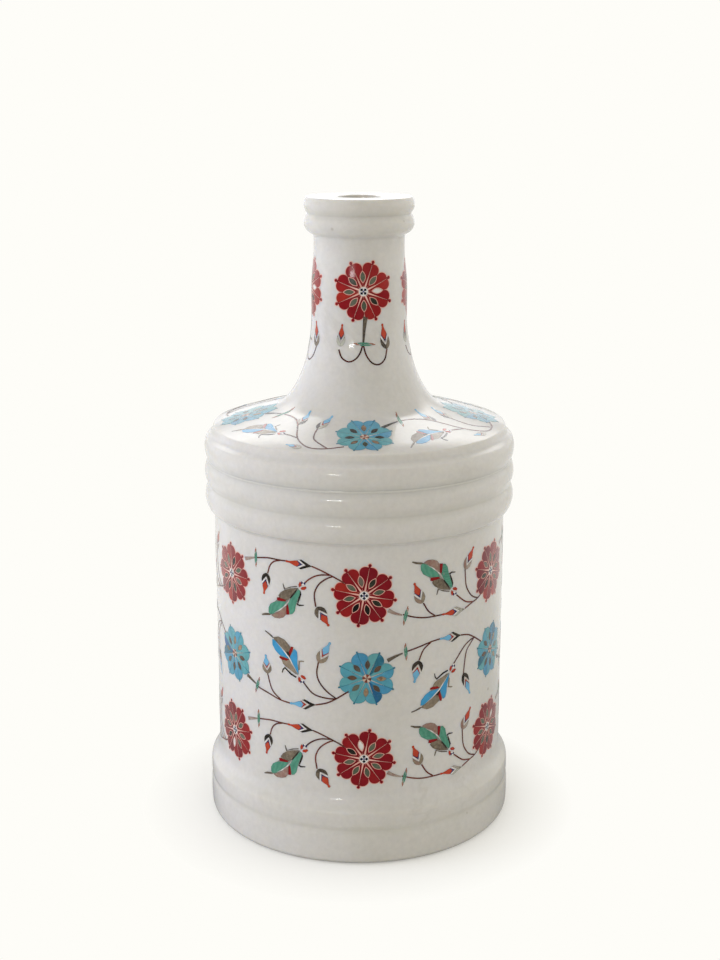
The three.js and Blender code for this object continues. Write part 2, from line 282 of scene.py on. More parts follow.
def polished(outline):
    """An outline with its corners worn round, kept only where it turns."""
    dense = []
    for a, b in zip(outline, outline[1:]):
        steps = max(1, round(math.dist(a, b) / POLISH_STEP))
        dense += [Vector(a).lerp(Vector(b), i / steps) for i in range(steps)]
    dense.append(Vector(outline[-1]))
    for _ in range(round((POLISH / POLISH_STEP) ** 2 * 2)):
        inner = [(a + 2 * b + c) / 4 for a, b, c in zip(dense, dense[1:], dense[2:])]
        dense = [dense[0], *inner, dense[-1]]
    kept = [dense[0]]
    for here, following in zip(dense[1:], dense[2:]):
        side = here - kept[-1]
        sag = side.length * side.angle(following - here) / 4
        if side.length > LONGEST_SIDE or sag > POLISH_SAG:
            kept.append(here)
    return [tuple(p) for p in [*kept, dense[-1]]]


def ring_crests(t):
    """Heights of the three rings' crests."""
    section, stand = mm(t.ring_section), mm(t.ring_radius - t.wall_radius)
    first = WALL_TOP + math.sqrt(section**2 - (section - stand) ** 2)
    return [first + i * mm(t.ring_pitch) for i in range(DRUM_RINGS + 1)]


def drum_outline(t):
    """Radius and height round half of the drum's section, from the middle of its underside."""
    wall, plinth, foot = mm(t.wall_radius), mm(t.plinth_radius), mm(t.foot_radius)
    cavity, pitch, section = mm(t.cavity_radius), mm(t.ring_pitch), mm(t.ring_section)
    outline = [(0, 0), (plinth - PLINTH_ROUND - UNDERSIDE_EDGE, 0)]
    outline += quarter((plinth - PLINTH_ROUND, PLINTH_ROUND), PLINTH_ROUND, -90)
    side = PLINTH_TOP - GROOVE_WIDTH / 2 - PLINTH_ROUND
    for i in range(1, 7):
        bulge = PLINTH_BULGE * math.sin(math.pi * i / 7)
        outline.append((plinth + bulge, PLINTH_ROUND + side * i / 7))
    for i in range(13):
        dip = GROOVE_DEPTH * (1 + math.cos(math.tau * (i / 12 - 0.5))) / 2
        height = PLINTH_TOP + GROOVE_WIDTH * (i / 12 - 0.5)
        outline.append((plinth + (foot - plinth) * i / 12 - dip, height))

    outline.append((foot, FOOT_CREST))
    crest, edge = ((foot, FOOT_BEAD_TOP - drop) for drop in (FOOT_BEAD_SIDE, FOOT_BEAD_CORNER))
    outline += curve(outline[-1], crest, edge, (foot - FOOT_QUIRK, FOOT_BEAD_TOP), 8)
    flow = (foot - 2 * FOOT_QUIRK, FOOT_BEAD_TOP + FOOT_QUIRK_RISE)
    sweep = (wall, WALL_BOTTOM - FOOT_SWEEP_DROP)
    outline += curve(outline[-1], flow, sweep, (wall, WALL_BOTTOM), 16)
    height = WALL_TOP - WALL_BOTTOM
    outline += [(wall, WALL_BOTTOM + height * i / 12) for i in range(1, 13)]

    for i, crest in enumerate(ring_crests(t)[:DRUM_RINGS]):
        low = WALL_TOP + LOW_RING_STEP + LOW_RING_FILLET - crest if i == 0 else -pitch / 2
        high = pitch / 2 - (SEAM_GAP / 2 if i == DRUM_RINGS - 1 else 0)
        moulding = bead(mm(t.ring_radius), crest, section, low, high, 22)
        if i == 0:
            corner = (wall, WALL_TOP + LOW_RING_STEP)
            outline += curve(outline[-1], corner, corner, moulding[0], 8)
        outline += moulding[1:]
    outline[-1] = (outline[-1][0] + SEAM_LIFT, outline[-1][1])
    outline = polished(outline)
    fillet = quarter((cavity - FLOOR_FILLET, FLOOR_THICKNESS + FLOOR_FILLET), FLOOR_FILLET, -90)
    return outline + [(cavity, outline[-1][1]), *reversed(fillet), (0, FLOOR_THICKNESS)]


def shoulder_levels(t):
    """Heights of the shoulder piece that follow from its sizes, by name."""
    cone_rise = math.tan(SHOULDER_SLOPE)
    ring = ring_crests(t)[-1]
    cove_top = ring + RING_TOP_RISE + COVE_HEIGHT
    edge_radius = mm(t.cove_radius) - SHOULDER_EDGE
    edge = cove_top + SHOULDER_EDGE
    flare = edge + (edge_radius - mm(t.flare_radius)) * cone_rise
    neck = flare + FLARE_HEIGHT
    throat = neck + NECK_STRAIGHT + THROAT_RISE
    return {
        "cone rise": cone_rise,
        "ring": ring,
        "cove top": cove_top,
        "edge radius": edge_radius,
        "edge": edge,
        "flare": flare,
        "neck": neck,
        "bend": neck + NECK_STRAIGHT,
        "throat": throat,
        "rim": throat + THROAT_STRAIGHT,
    }


def upper_outline(t):
    """The shoulder's cone, the flare and the neck up to the rim, from the cone's outer edge."""
    level = shoulder_levels(t)
    flare, neck, throat = mm(t.flare_radius), mm(t.neck_radius), mm(t.throat_radius)
    edge, slope = level["edge radius"], level["cone rise"]
    reach = edge - flare
    outline = [(edge - reach * i / 14, level["edge"] + reach * slope * i / 14) for i in range(15)]
    foot = (flare, level["flare"])
    foot_handle = (flare - FLARE_FOOT_REACH, level["flare"] + FLARE_FOOT_REACH * slope)
    neck_handle = (neck, level["neck"] - FLARE_NECK_REACH)
    outline += curve(foot, foot_handle, neck_handle, (neck, level["neck"]), 30)
    outline += [(neck, level["neck"] + NECK_STRAIGHT * i / 4) for i in range(1, 5)]
    bend = (neck, level["bend"] + THROAT_REACH)
    throat_handle = (throat, level["throat"] - THROAT_REACH)
    outline += curve(outline[-1], bend, throat_handle, (throat, level["throat"]), 10)
    outline += [
        (throat, level["throat"] + THROAT_STRAIGHT * i / THROAT_STEPS) for i in range(1, 5)
    ]
    return outline


def shoulder_outline(t):
    """Radius and height round half of the shoulder piece's section, from the seam back to it."""
    level = shoulder_levels(t)
    cove, mouth, rim = mm(t.cove_radius), mm(t.mouth_radius), mm(t.rim_radius)
    section, pitch = mm(t.bead_section), mm(t.bead_pitch)
    spigot = mm(t.cavity_radius) - SEAM_GAP
    seam = -mm(t.ring_pitch) / 2 + SEAM_GAP / 2
    outline = bead(mm(t.ring_radius), level["ring"], mm(t.ring_section), seam, RING_TOP_RISE, 22)
    outline[0] = (outline[0][0] + SEAM_LIFT, outline[0][1])
    cove_handle = (cove + COVE_SLANT, level["ring"] + RING_TOP_RISE + COVE_DEPTH)
    outline += curve(outline[-1], cove_handle, cove_handle, (cove, level["cove top"]), 10)
    outline += quarter((level["edge radius"], level["cove top"]), SHOULDER_EDGE, 0, 4)[1:-1]
    outline += upper_outline(t)
    lower_bead = level["rim"] + RIM_UNDERSIDE
    outline += bead(rim, lower_bead, section, RIM_QUIRK - RIM_UNDERSIDE, pitch / 2, 18)
    outline += bead(rim, lower_bead + pitch, section, -pitch / 2, RIM_TOP_RISE, 18)[1:]
    top = lower_bead + pitch + RIM_TOP_RISE
    outline = polished(outline)
    outline += [((outline[-1][0] + mouth + MOUTH_EASE) / 2, top)]
    outline += quarter((mouth + MOUTH_EASE, top - MOUTH_EASE), MOUTH_EASE, 90, 5)
    crown = level["edge"] - CROWN_THICKNESS
    bore_bottom = crown + (spigot - SPIGOT_WALL - mouth) * level["cone rise"]
    foot = outline[0][1] - SPIGOT_LENGTH
    outline += [
        (mouth, bore_bottom),
        (spigot - SPIGOT_WALL, crown),
        (spigot - SPIGOT_WALL, foot),
        (spigot, foot),
        (spigot, outline[0][1]),
        outline[0],
    ]
    return outline


def seam_outline(t):
    """Radius and height round the filling between the marbles, smeared a little over both lips."""
    low, high = drum_outline(t), shoulder_outline(t)
    lip, seat = max(low, key=lambda p: (p[1], p[0])), high[0]
    under, over = lip[1] - SEAM_SMEAR, seat[1] + SEAM_SMEAR
    middle = (lip[0] + seat[0]) / 2 + SEAM_SWELL
    inner = mm(t.cavity_radius) + SEAM_INNER
    return [
        (inner, lip[1]),
        (lip[0] - SEAM_BITE, lip[1]),
        (between(low, under, 1, 0) - SEAM_SINK, under),
        (middle, lip[1]),
        (middle, seat[1]),
        (between(high, over, 1, 0) - SEAM_SINK, over),
        (seat[0] - SEAM_BITE, seat[1]),
        (inner, seat[1]),
        (inner, lip[1]),
    ]


def between(points, value, given, wanted):
    """One coordinate of an outline where its other coordinate has a value."""
    for low, high in zip(points, points[1:]):
        a, b = low[given], high[given]
        if min(a, b) <= value <= max(a, b) and a != b:
            return low[wanted] + (high[wanted] - low[wanted]) * (value - a) / (b - a)
    nearest = min(points, key=lambda p: abs(p[given] - value))
    return nearest[wanted]


# Node trees


def new_tree(name, sockets):
    """A geometry node tree with named inputs, its input node and its output node."""
    tree = bpy.data.node_groups.new(name, "GeometryNodeTree")
    for label, kind in sockets:
        tree.interface.new_socket(label, in_out="INPUT", socket_type=kind)
    tree.interface.new_socket("Geometry", in_out="OUTPUT", socket_type="NodeSocketGeometry")
    return tree, tree.nodes.new("NodeGroupInput").outputs, tree.nodes.new("NodeGroupOutput").inputs


def add(tree, kind, inputs=None, **settings):
    """A node with its settings, and its inputs linked or set by name or number."""
    node = tree.nodes.new(kind)
    for key, value in settings.items():
        setattr(node, key, value)
    for key, value in (inputs or {}).items():
        if isinstance(key, int):
            socket = node.inputs[key]
        else:
            socket = next(s for s in node.inputs if s.name == key and s.enabled)
        if isinstance(value, bpy.types.NodeSocket):
            tree.links.new(value, socket)
        else:
            socket.default_value = value
    return node


def maths(tree, operation, *values, clamp=False):
    """The result of a sum on numbers."""
    settings = {"operation": operation, "use_clamp": clamp}
    return add(tree, "ShaderNodeMath", dict(enumerate(values)), **settings).outputs[0]


def named(tree, name, kind="FLOAT"):
    """A named attribute, read in a geometry tree."""
    node = add(tree, "GeometryNodeInputNamedAttribute", {"Name": name}, data_type=kind)
    return node.outputs["Attribute"]


def keep(tree, geometry, name, value, kind="FLOAT"):
    """Geometry with a value kept as a named attribute of its points."""
    inputs = {"Geometry": geometry, "Name": name, "Value": value}
    settings = {"data_type": kind, "domain": "POINT"}
    return add(tree, "GeometryNodeStoreNamedAttribute", inputs, **settings).outputs[0]


# How the turned marble's wander changes: along the height, round the vase and between the bodies
WANDER_ALONG = 60
WANDER_ROUND = 1.1
WANDER_APART = 3.7
WELD = 1e-6


def turned_body_tree():
    """Turns an outline about the vertical axis, letting its free mouldings wander a little."""
    tree, given, result = new_tree(
        "Turned Body",
        [
            ("Outline", "NodeSocketGeometry"),
            ("Segments", "NodeSocketInt"),
            ("Wander", "NodeSocketFloat"),
            ("Seed", "NodeSocketInt"),
            ("Stone", "NodeSocketMaterial"),
        ],
    )
    outline = given["Outline"]
    extent = add(tree, "GeometryNodeAttributeDomainSize", {"Geometry": outline})
    rows = extent.outputs["Point Count"]
    columns = maths(tree, "ADD", given["Segments"], 1)
    inputs = {"Vertices X": columns, "Vertices Y": rows}
    grid = add(tree, "GeometryNodeMeshGrid", inputs).outputs["Mesh"]
    index = add(tree, "GeometryNodeInputIndex").outputs[0]
    row = maths(tree, "MODULO", index, rows)
    column = maths(tree, "FLOOR", maths(tree, "DIVIDE", index, rows))

    def sampled(value, kind):
        inputs = {"Geometry": outline, "Value": value, "Index": row}
        settings = {"data_type": kind, "domain": "POINT"}
        return add(tree, "GeometryNodeSampleIndex", inputs, **settings).outputs[0]

    spot = sampled(add(tree, "GeometryNodeInputPosition").outputs[0], "FLOAT_VECTOR")
    spot = add(tree, "ShaderNodeSeparateXYZ", {0: spot}).outputs
    turn = maths(tree, "MULTIPLY", column, maths(tree, "DIVIDE", math.tau, given["Segments"]))
    cosine, sine = maths(tree, "COSINE", turn), maths(tree, "SINE", turn)
    shift = maths(tree, "MULTIPLY", given["Seed"], WANDER_APART)
    level = maths(tree, "MULTIPLY_ADD", spot["Z"], WANDER_ALONG, shift)
    around = add(tree, "ShaderNodeCombineXYZ", {0: cosine, 1: sine, 2: level}).outputs[0]
    inputs = {"Vector": around, "Scale": WANDER_ROUND, "Detail": 2}
    waver = add(tree, "ShaderNodeTexNoise", inputs).outputs[0]
    sway = maths(tree, "MULTIPLY", maths(tree, "SUBTRACT", waver, 0.5), given["Wander"])
    free = sampled(named(tree, "free"), "FLOAT")
    radius = maths(tree, "MULTIPLY_ADD", sway, free, spot["X"])
    across, along = (maths(tree, "MULTIPLY", radius, share) for share in (cosine, sine))
    place = add(tree, "ShaderNodeCombineXYZ", {0: across, 1: along, 2: spot["Z"]}).outputs[0]
    body = add(tree, "GeometryNodeSetPosition", {"Geometry": grid, "Position": place}).outputs[0]
    # Each point keeps its share of the painted groove shade
    body = keep(tree, body, "groove", sampled(named(tree, "groove"), "FLOAT"))
    body = add(tree, "GeometryNodeMergeByDistance", {"Geometry": body, "Distance": WELD}).outputs[0]
    body = add(tree, "GeometryNodeRealizeInstances", {"Geometry": body}).outputs[0]
    inputs = {"Geometry": body, "Material": given["Stone"]}
    body = add(tree, "GeometryNodeSetMaterial", inputs).outputs[0]
    tree.links.new(body, result[0])
    return tree


# More than the most copies of a chip, so that every copy has a number of its own
COPIES_APART = 16


def round_the_axis_tree():
    """Repeats laid chips about the vertical axis. The first copy keeps its shades, the others
    draw new ones."""
    tree, given, result = new_tree(
        "Round the Axis",
        [
            ("Chips", "NodeSocketGeometry"),
            ("Count", "NodeSocketInt"),
            ("Spread", "NodeSocketFloat"),
            ("Seed", "NodeSocketInt"),
            ("Stone", "NodeSocketMaterial"),
        ],
    )
    inputs = {"Count": given["Count"], "Offset": (0, 0, 0)}
    line = add(tree, "GeometryNodeMeshLine", inputs).outputs[0]
    index = add(tree, "GeometryNodeInputIndex").outputs[0]
    line = keep(tree, line, "copy", index, "INT")
    turn = maths(tree, "MULTIPLY", index, maths(tree, "DIVIDE", math.tau, given["Count"]))
    rotation = add(tree, "ShaderNodeCombineXYZ", {2: turn}).outputs[0]
    inputs = {"Points": line, "Instance": given["Chips"], "Rotation": rotation}
    copies = add(tree, "GeometryNodeInstanceOnPoints", inputs).outputs[0]
    copies = add(tree, "GeometryNodeRealizeInstances", {"Geometry": copies}).outputs[0]
    copy = named(tree, "copy", "INT")
    stone_id = maths(tree, "MULTIPLY_ADD", named(tree, "chip", "INT"), COPIES_APART, copy)

    def drawn(seed):
        inputs = {"ID": stone_id, "Seed": maths(tree, "ADD", given["Seed"], seed)}
        return add(tree, "FunctionNodeRandomValue", inputs, data_type="FLOAT").outputs["Value"]

    change = maths(tree, "MULTIPLY", maths(tree, "SUBTRACT", drawn(0), 0.5), given["Spread"])
    change = maths(tree, "MULTIPLY", change, maths(tree, "MINIMUM", copy, 1))
    copies = keep(tree, copies, "tone", maths(tree, "ADD", named(tree, "tone"), change, clamp=True))
    copies = keep(tree, copies, "grain", drawn(1))
    inputs = {"Geometry": copies, "Material": given["Stone"]}
    copies = add(tree, "GeometryNodeSetMaterial", inputs).outputs[0]
    tree.links.new(copies, result[0])
    return tree


def worked(tree, mesh, settings):
    """The plain mesh that a node tree makes of a mesh."""
    bench = bpy.data.objects.new(tree.name, mesh)
    bpy.context.scene.collection.objects.link(bench)
    modifier = bench.modifiers.new(tree.name, "NODES")
    modifier.node_group = tree
    for socket in tree.interface.items_tree:
        if socket.in_out == "INPUT" and socket.name in settings:
            modifier[socket.identifier] = settings[socket.name]
    depsgraph = bpy.context.evaluated_depsgraph_get()
    finished = bpy.data.meshes.new_from_object(
        bench.evaluated_get(depsgraph), preserve_all_data_layers=True, depsgraph=depsgraph
    )
    stone = finished.materials[-1]
    finished.materials.clear()
    finished.materials.append(stone)
    bench.modifiers.remove(modifier)
    bpy.data.objects.remove(bench)
    bpy.data.meshes.remove(mesh)
    return finished


def finished_piece(name, meshes, crease, replaced):
    """One piece of the vase from finished meshes, riding on the vase in place of its nodes."""
    joined = bmesh.new()
    material = meshes[0].materials[0]
    for mesh in meshes:
        joined.from_mesh(mesh)
        bpy.data.meshes.remove(mesh)
    whole = bpy.data.meshes.new(name)
    joined.to_mesh(whole)
    joined.free()
    whole.materials.append(material)
    whole.shade_smooth()
    whole.set_sharp_from_angle(angle=crease)
    piece = bpy.data.objects.new(name, whole)
    bpy.context.scene.collection.objects.link(piece)
    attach(piece, "root")
    if replaced:
        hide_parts(*replaced)
    return piece


# Materials


def new_material(name):
    """A material with an empty tree but for its surface shader."""
    material = bpy.data.materials.new(name)
    material.use_nodes = True
    tree = material.node_tree
    return material, tree, tree.nodes["Principled BSDF"]


def attribute(tree, name):
    """A named attribute as a number, read in a material."""
    settings = {"attribute_name": name, "attribute_type": "GEOMETRY"}
    return add(tree, "ShaderNodeAttribute", **settings).outputs["Fac"]


def ramp(tree, factor, stops, interpolation="LINEAR"):
    """Colours along a factor, from pairs of place and colour."""
    node = add(tree, "ShaderNodeValToRGB", {"Fac": factor})
    node.color_ramp.interpolation = interpolation
    while len(node.color_ramp.elements) < len(stops):
        node.color_ramp.elements.new(1)
    for element, (place, shade) in zip(node.color_ramp.elements, stops):
        element.position = place
        element.color = rgba(shade)
    return node.outputs["Color"]


def spread(tree, value, low, high, new_low=0.0, new_high=1.0):
    """A value's range mapped on another, held at its ends."""
    inputs = {"Value": value, "From Min": low, "From Max": high}
    inputs |= {"To Min": new_low, "To Max": new_high}
    return add(tree, "ShaderNodeMapRange", inputs, clamp=True).outputs[0]


def mixed(tree, factor, first, second, blend="MIX"):
    """Two colours mixed by a factor."""
    inputs = {0: factor, 6: first, 7: second}
    return add(tree, "ShaderNodeMix", inputs, data_type="RGBA", blend_type=blend).outputs[2]


def noise(tree, place, scale, detail=3.0, roughness=0.5, distortion=0.0):
    """Cloudy noise between 0 and 1."""
    inputs = {"Vector": place, "Scale": scale, "Detail": detail}
    inputs |= {"Roughness": roughness, "Distortion": distortion}
    return add(tree, "ShaderNodeTexNoise", inputs).outputs[0]


def rgba(shade):
    """A colour with its alpha."""
    return (*shade, 1)


def grey(tree, value):
    """A number as a grey colour."""
    return add(tree, "ShaderNodeCombineXYZ", {0: value, 1: value, 2: value}).outputs[0]


def dimmed(tree, tint, share):
    """A colour multiplied by a number."""
    return mixed(tree, 1, tint, grey(tree, share), "MULTIPLY")


def product(tree, first, *others):
    """The product of several numbers."""
    for other in others:
        first = maths(tree, "MULTIPLY", first, other)
    return first


def relief(tree, height, strength, distance, under=None):
    """A surface's direction, raised by a height over a distance in metres, on another relief."""
    inputs = {"Height": height, "Strength": strength, "Distance": distance}
    if under is not None:
        inputs["Normal"] = under
    return add(tree, "ShaderNodeBump", inputs).outputs[0]


def finish(tree, surface, tint, roughness, normal, gloss):
    """Links a surface's colour, roughness and relief, and sets its plain inputs by name."""
    for name, value in (("Base Color", tint), ("Roughness", roughness), ("Normal", normal)):
        tree.links.new(value, surface.inputs[name])
    for name, value in gloss.items():
        surface.inputs[name].default_value = value


MARBLE_GLOSS = {
    "Specular IOR Level": 0.3,
    "Coat Weight": 0.4,
    "Coat Roughness": 0.05,
    "Subsurface Radius": (1, 0.85, 0.6),
    "Subsurface Scale": 0.004,
}
STONE_GLOSS = {"Specular IOR Level": 0.4, "Coat Weight": 0.4, "Coat Roughness": 0.06}

# How strongly each mark shows in the marble
CLOUD_SHOWS = 0.6
VEIN_SHOWS = 0.16
SPECK_SHOWS = 0.6


def marble_material(c, name="white marble", depth=0.6):
    """White marble: soft grey clouds, thin broken veins, small brown grains, painted shade near the
    grooves and a hand polish.
    """
    material, tree, surface = new_material(name)
    place = add(tree, "ShaderNodeTexCoord").outputs["Object"]
    cloud = noise(tree, place, 11, detail=5, roughness=0.55, distortion=0.6)
    cloud = product(tree, spread(tree, cloud, 0.36, 0.68), CLOUD_SHOWS)
    tint = mixed(tree, cloud, rgba(c.marble), rgba(c.marble_cloud))
    grain = noise(tree, place, 420, detail=2, roughness=0.6)
    tint = dimmed(tree, tint, spread(tree, grain, 0.3, 0.7, 0.97, 1.03))

    wisp = noise(tree, place, 8, detail=6, roughness=0.6, distortion=1.2)
    ridge = maths(tree, "ABSOLUTE", maths(tree, "SUBTRACT", wisp, 0.5))
    vein = spread(tree, ridge, 0.0, 0.018, 1, 0)
    where = spread(tree, noise(tree, place, 14, detail=2), 0.5, 0.64)
    tint = mixed(tree, product(tree, vein, where, VEIN_SHOWS), tint, rgba(c.marble_vein))

    inputs = {"Vector": place, "Scale": 95, "Randomness": 1}
    cells = add(tree, "ShaderNodeTexVoronoi", inputs).outputs
    chance = add(tree, "ShaderNodeSeparateXYZ", {0: cells["Color"]}).outputs
    rare = spread(tree, chance["X"], 0.83, 0.85)
    reach = spread(tree, chance["Y"], 0, 1, 0.03, 0.1)
    near = maths(tree, "DIVIDE", cells["Distance"], reach)
    speck = product(tree, rare, spread(tree, near, 0.4, 1.1, 1, 0))
    tint = mixed(tree, product(tree, speck, SPECK_SHOWS), tint, rgba(c.marble_speck))

    # Painted shade: near the grooves the marble is darkened towards the groove colour, in soft
    # patches
    painted_shade_patches = spread(tree, noise(tree, place, 45), 0.3, 0.7, 0.15, 0.45)
    tint = mixed(tree, product(tree, attribute(tree, "groove"), painted_shade_patches), tint, rgba(c.groove))
    shine = spread(tree, noise(tree, place, 38, detail=4), 0.3, 0.7, 0.08, 0.17)
    wave = relief(tree, noise(tree, place, 34, detail=2), 0.5, 0.0006)
    dents = maths(tree, "SUBTRACT", noise(tree, place, 900, detail=2), speck)
    normal = relief(tree, dents, 0.25, 0.00005, wave)
    finish(tree, surface, tint, shine, normal, {**MARBLE_GLOSS, "Subsurface Weight": depth})
    return material


# How a stone's figure runs: the scale of its pattern, how much that shifts the shade, the colour of
# its flecks, its polish, and the width in millimetres of its darker cut edge
Figure = namedtuple(
    "Figure", "kind scale strength fleck polish edge", defaults=("cloud", 500, 0.1, None, 0.2, 0.16)
)
# How strongly flecks and cut edges show, and the width in millimetres of a chip's worn rim
FLECK_SHOWS = 0.6
EDGE_SHOWS = 0.6
WORN_RIM = 0.12


def figured(tree, place, figure):
    """The pattern of a stone's figure between 0 and 1."""
    if figure.kind == "bands":
        inputs = {"Vector": place, "Scale": figure.scale}
        inputs |= {"Distortion": 5, "Detail": 3, "Detail Scale": 1.4}
        return add(tree, "ShaderNodeTexWave", inputs, wave_type="RINGS").outputs["Fac"]
    if figure.kind == "grit":
        inputs = {"Vector": place, "Scale": figure.scale}
        cells = add(tree, "ShaderNodeTexVoronoi", inputs).outputs["Color"]
        return add(tree, "ShaderNodeSeparateXYZ", {0: cells}).outputs["X"]
    return noise(tree, place, figure.scale, detail=4, roughness=0.6, distortion=0.8)


def stone_material(name, stops, figure, rim):
    """A hard stone whose shade follows each chip's tone, darker at the chip's cut edge."""
    material, tree, surface = new_material(name)
    grain = attribute(tree, "grain")
    shift = {0: grain, 1: maths(tree, "MULTIPLY", grain, 7), 2: grain}
    shift = add(tree, "ShaderNodeCombineXYZ", shift).outputs[0]
    own = add(tree, "ShaderNodeTexCoord").outputs["Object"]
    place = add(tree, "ShaderNodeVectorMath", {0: own, 1: shift}, operation="ADD").outputs[0]
    pattern = maths(tree, "SUBTRACT", figured(tree, place, figure), 0.5)
    tone = maths(tree, "MULTIPLY_ADD", pattern, figure.strength, attribute(tree, "tone"))
    soft = spread(tree, noise(tree, place, 240), 0.3, 0.7, 0.9, 1.1)
    tint = dimmed(tree, ramp(tree, tone, stops), soft)
    if figure.fleck:
        inputs = {"Vector": place, "Scale": figure.scale * 1.7}
        centre = add(tree, "ShaderNodeTexVoronoi", inputs).outputs["Distance"]
        fleck = spread(tree, centre, 0.08, 0.16, FLECK_SHOWS, 0)
        tint = mixed(tree, fleck, tint, rgba(figure.fleck))
    if rim:
        edge = spread(tree, attribute(tree, "edge"), 0, figure.edge, EDGE_SHOWS, 0)
        tint = mixed(tree, edge, tint, rgba(rim))
    dull, bright = figure.polish + 0.1, figure.polish - 0.05
    shine = spread(tree, noise(tree, place, 160), 0.3, 0.7, bright, dull)
    worn = spread(tree, attribute(tree, "edge"), 0, WORN_RIM)
    height = maths(tree, "MULTIPLY_ADD", noise(tree, place, 300, detail=2), 0.4, worn)
    normal = relief(tree, height, 0.35, 0.00003)
    finish(tree, surface, tint, shine, normal, STONE_GLOSS)
    return material


def stones(c):
    """Every stone of the inlay: the colours along its tones, its figure and its cut edge."""
    black = display(20, 17, 14)
    recipes = {
        "carnelian": (
            [(0, c.crimson), (0.5, c.carnelian), (1, c.flame)],
            Figure(scale=300, strength=0.25, polish=0.16, edge=0.34),
            display(70, 8, 14),
        ),
        "rose quartz": (
            [(0, c.rose), (1, display(244, 206, 194))],
            Figure(scale=400, strength=0.3, polish=0.22),
            c.rose,
        ),
        "turquoise": (
            [(0, c.lagoon), (0.25, display(90, 162, 172)), (0.5, c.turquoise),
             (0.7, display(70, 144, 182)), (0.85, c.teal), (1, c.deep_blue)],
            Figure(scale=420, strength=0.3, polish=0.24),
            display(40, 100, 118),
        ),
        "sky stone": (
            [(0, display(60, 146, 196)), (0.5, c.sky), (1, display(150, 198, 222))],
            Figure(scale=380, strength=0.3, polish=0.24),
            display(44, 104, 146),
        ),
        "malachite": (
            [(0, c.malachite_band), (0.5, c.malachite), (1, display(104, 166, 140))],
            Figure("bands", scale=260, strength=0.36),
            display(40, 84, 66),
        ),
        "orange jasper": (
            [(0, display(160, 46, 36)), (0.5, c.jasper), (1, display(214, 160, 84))],
            Figure(scale=360, strength=0.3),
            display(120, 36, 26),
        ),
        "lapis": (
            [(0, display(18, 18, 34)), (0.5, c.lapis), (1, display(118, 122, 178))],
            Figure(strength=0.3, fleck=display(120, 122, 170)),
            display(16, 16, 30),
        ),
        "mother of pearl": (
            [(0, display(206, 180, 156)), (0.5, c.pearl), (1, display(242, 240, 238))],
            Figure(scale=350, strength=0.6, polish=0.14),
            display(150, 140, 128),
        ),
        "slate": (
            [(0, c.onyx), (0.2, display(74, 66, 57)), (0.4, c.taupe),
             (0.55, display(156, 142, 120)), (0.72, c.rose_taupe), (1, c.sage)],
            Figure("grit", scale=900, strength=0.14, polish=0.26),
            display(38, 33, 28),
        ),
        "lozenge stones": (
            [(0, black), (0.16, display(52, 54, 42)), (0.36, c.serpentine),
             (0.5, display(118, 106, 94)), (0.64, display(84, 70, 60)), (0.76, c.agate),
             (0.88, c.ochre), (1, c.pearl)],
            Figure("grit", scale=800, strength=0.08, polish=0.22),
            black,
        ),
        "brown jasper": (
            [(0, display(44, 24, 22)), (0.5, c.brown), (1, display(146, 70, 52))],
            Figure(scale=220, strength=1.6, polish=0.26),
            display(54, 28, 24),
        ),
        "cement": (
            [(0, c.peach), (0.5, c.grout), (1, c.blue_grout)],
            Figure("grit", scale=1400, strength=0.02, polish=0.5),
            None,
        ),
    }
    return {name: stone_material(name, *recipe) for name, recipe in recipes.items()}


# Cutting chips


# Where a drawing lies: how the marble repeats it, how flat points reach the marble, and the
# drawing's own place and turn on that flat
Spot = namedtuple("Spot", "repeat field place")


def turned(x, y, angle):
    """A flat point turned left about the origin."""
    return x * math.cos(angle) - y * math.sin(angle), x * math.sin(angle) + y * math.cos(angle)


def area(outline):
    """Signed area of a flat outline, positive when it turns left."""
    return sum(a[0] * b[1] - b[0] * a[1] for a, b in zip(outline, outline[1:] + outline[:1])) / 2


def refined(outline, reach):
    """An outline with points added so that no side is longer than a reach."""
    points = []
    for a, b in zip(outline, outline[1:] + outline[:1]):
        steps = max(1, math.ceil(math.dist(a, b) / reach))
        run, rise = b[0] - a[0], b[1] - a[1]
        points += [(a[0] + run * i / steps, a[1] + rise * i / steps) for i in range(steps)]
    return points


def edge_distance(point, outline):
    """Distance from a flat point to the nearest side of an outline."""
    nearest = math.inf
    for a, b in zip(outline, outline[1:] + outline[:1]):
        run, rise = b[0] - a[0], b[1] - a[1]
        x, y = point[0] - a[0], point[1] - a[1]
        along = min(1, max(0, (x * run + y * rise) / (run * run + rise * rise)))
        nearest = min(nearest, math.hypot(x - run * along, y - rise * along))
    return nearest


def inside(point, outline):
    """Whether a flat point lies inside an outline."""
    x, y = point
    crossings = 0
    for a, b in zip(outline, outline[1:] + outline[:1]):
        if (a[1] > y) != (b[1] > y) and x < a[0] + (y - a[1]) * (b[0] - a[0]) / (b[1] - a[1]):
            crossings += 1
    return crossings % 2 == 1


# Sharpest corner that is moved out in full, as the share of its sides' square, and the length
# under which a corner counts as folded right back
SHARP_CORNER = 0.6
FOLDED_BACK = 1e-6


def moved_out(outline, distance):
    """An outline moved out square to its sides, with sharp corners held back."""
    points = []
    for i, p in enumerate(outline):
        before = (Vector(p) - Vector(outline[i - 1])).normalized()
        after = (Vector(outline[(i + 1) % len(outline)]) - Vector(p)).normalized()
        out = Vector((before.y + after.y, -before.x - after.x))
        if out.length < FOLDED_BACK:
            out = Vector((before.y, -before.x))
        out.normalize()
        square = max(out.x * after.y - out.y * after.x, SHARP_CORNER)
        points.append((p[0] + out.x * distance / square, p[1] + out.y * distance / square))
    return points


# Flat corners lie this far in from a chip's rim, and its sides and corners keep these distances
RIM_INSET = 0.3
RIM_CLEARANCE = 0.8
LEAST_SIDE = 0.02
# How far every other row of inner points is shifted
ROW_SHIFT = 0.37
ROW_CLEARANCE = 0.3
# The cut keeps the triangles inside the rim, and takes points nearer than this for one
KEEP_INSIDE = 1
SAME_POINT = 1e-5


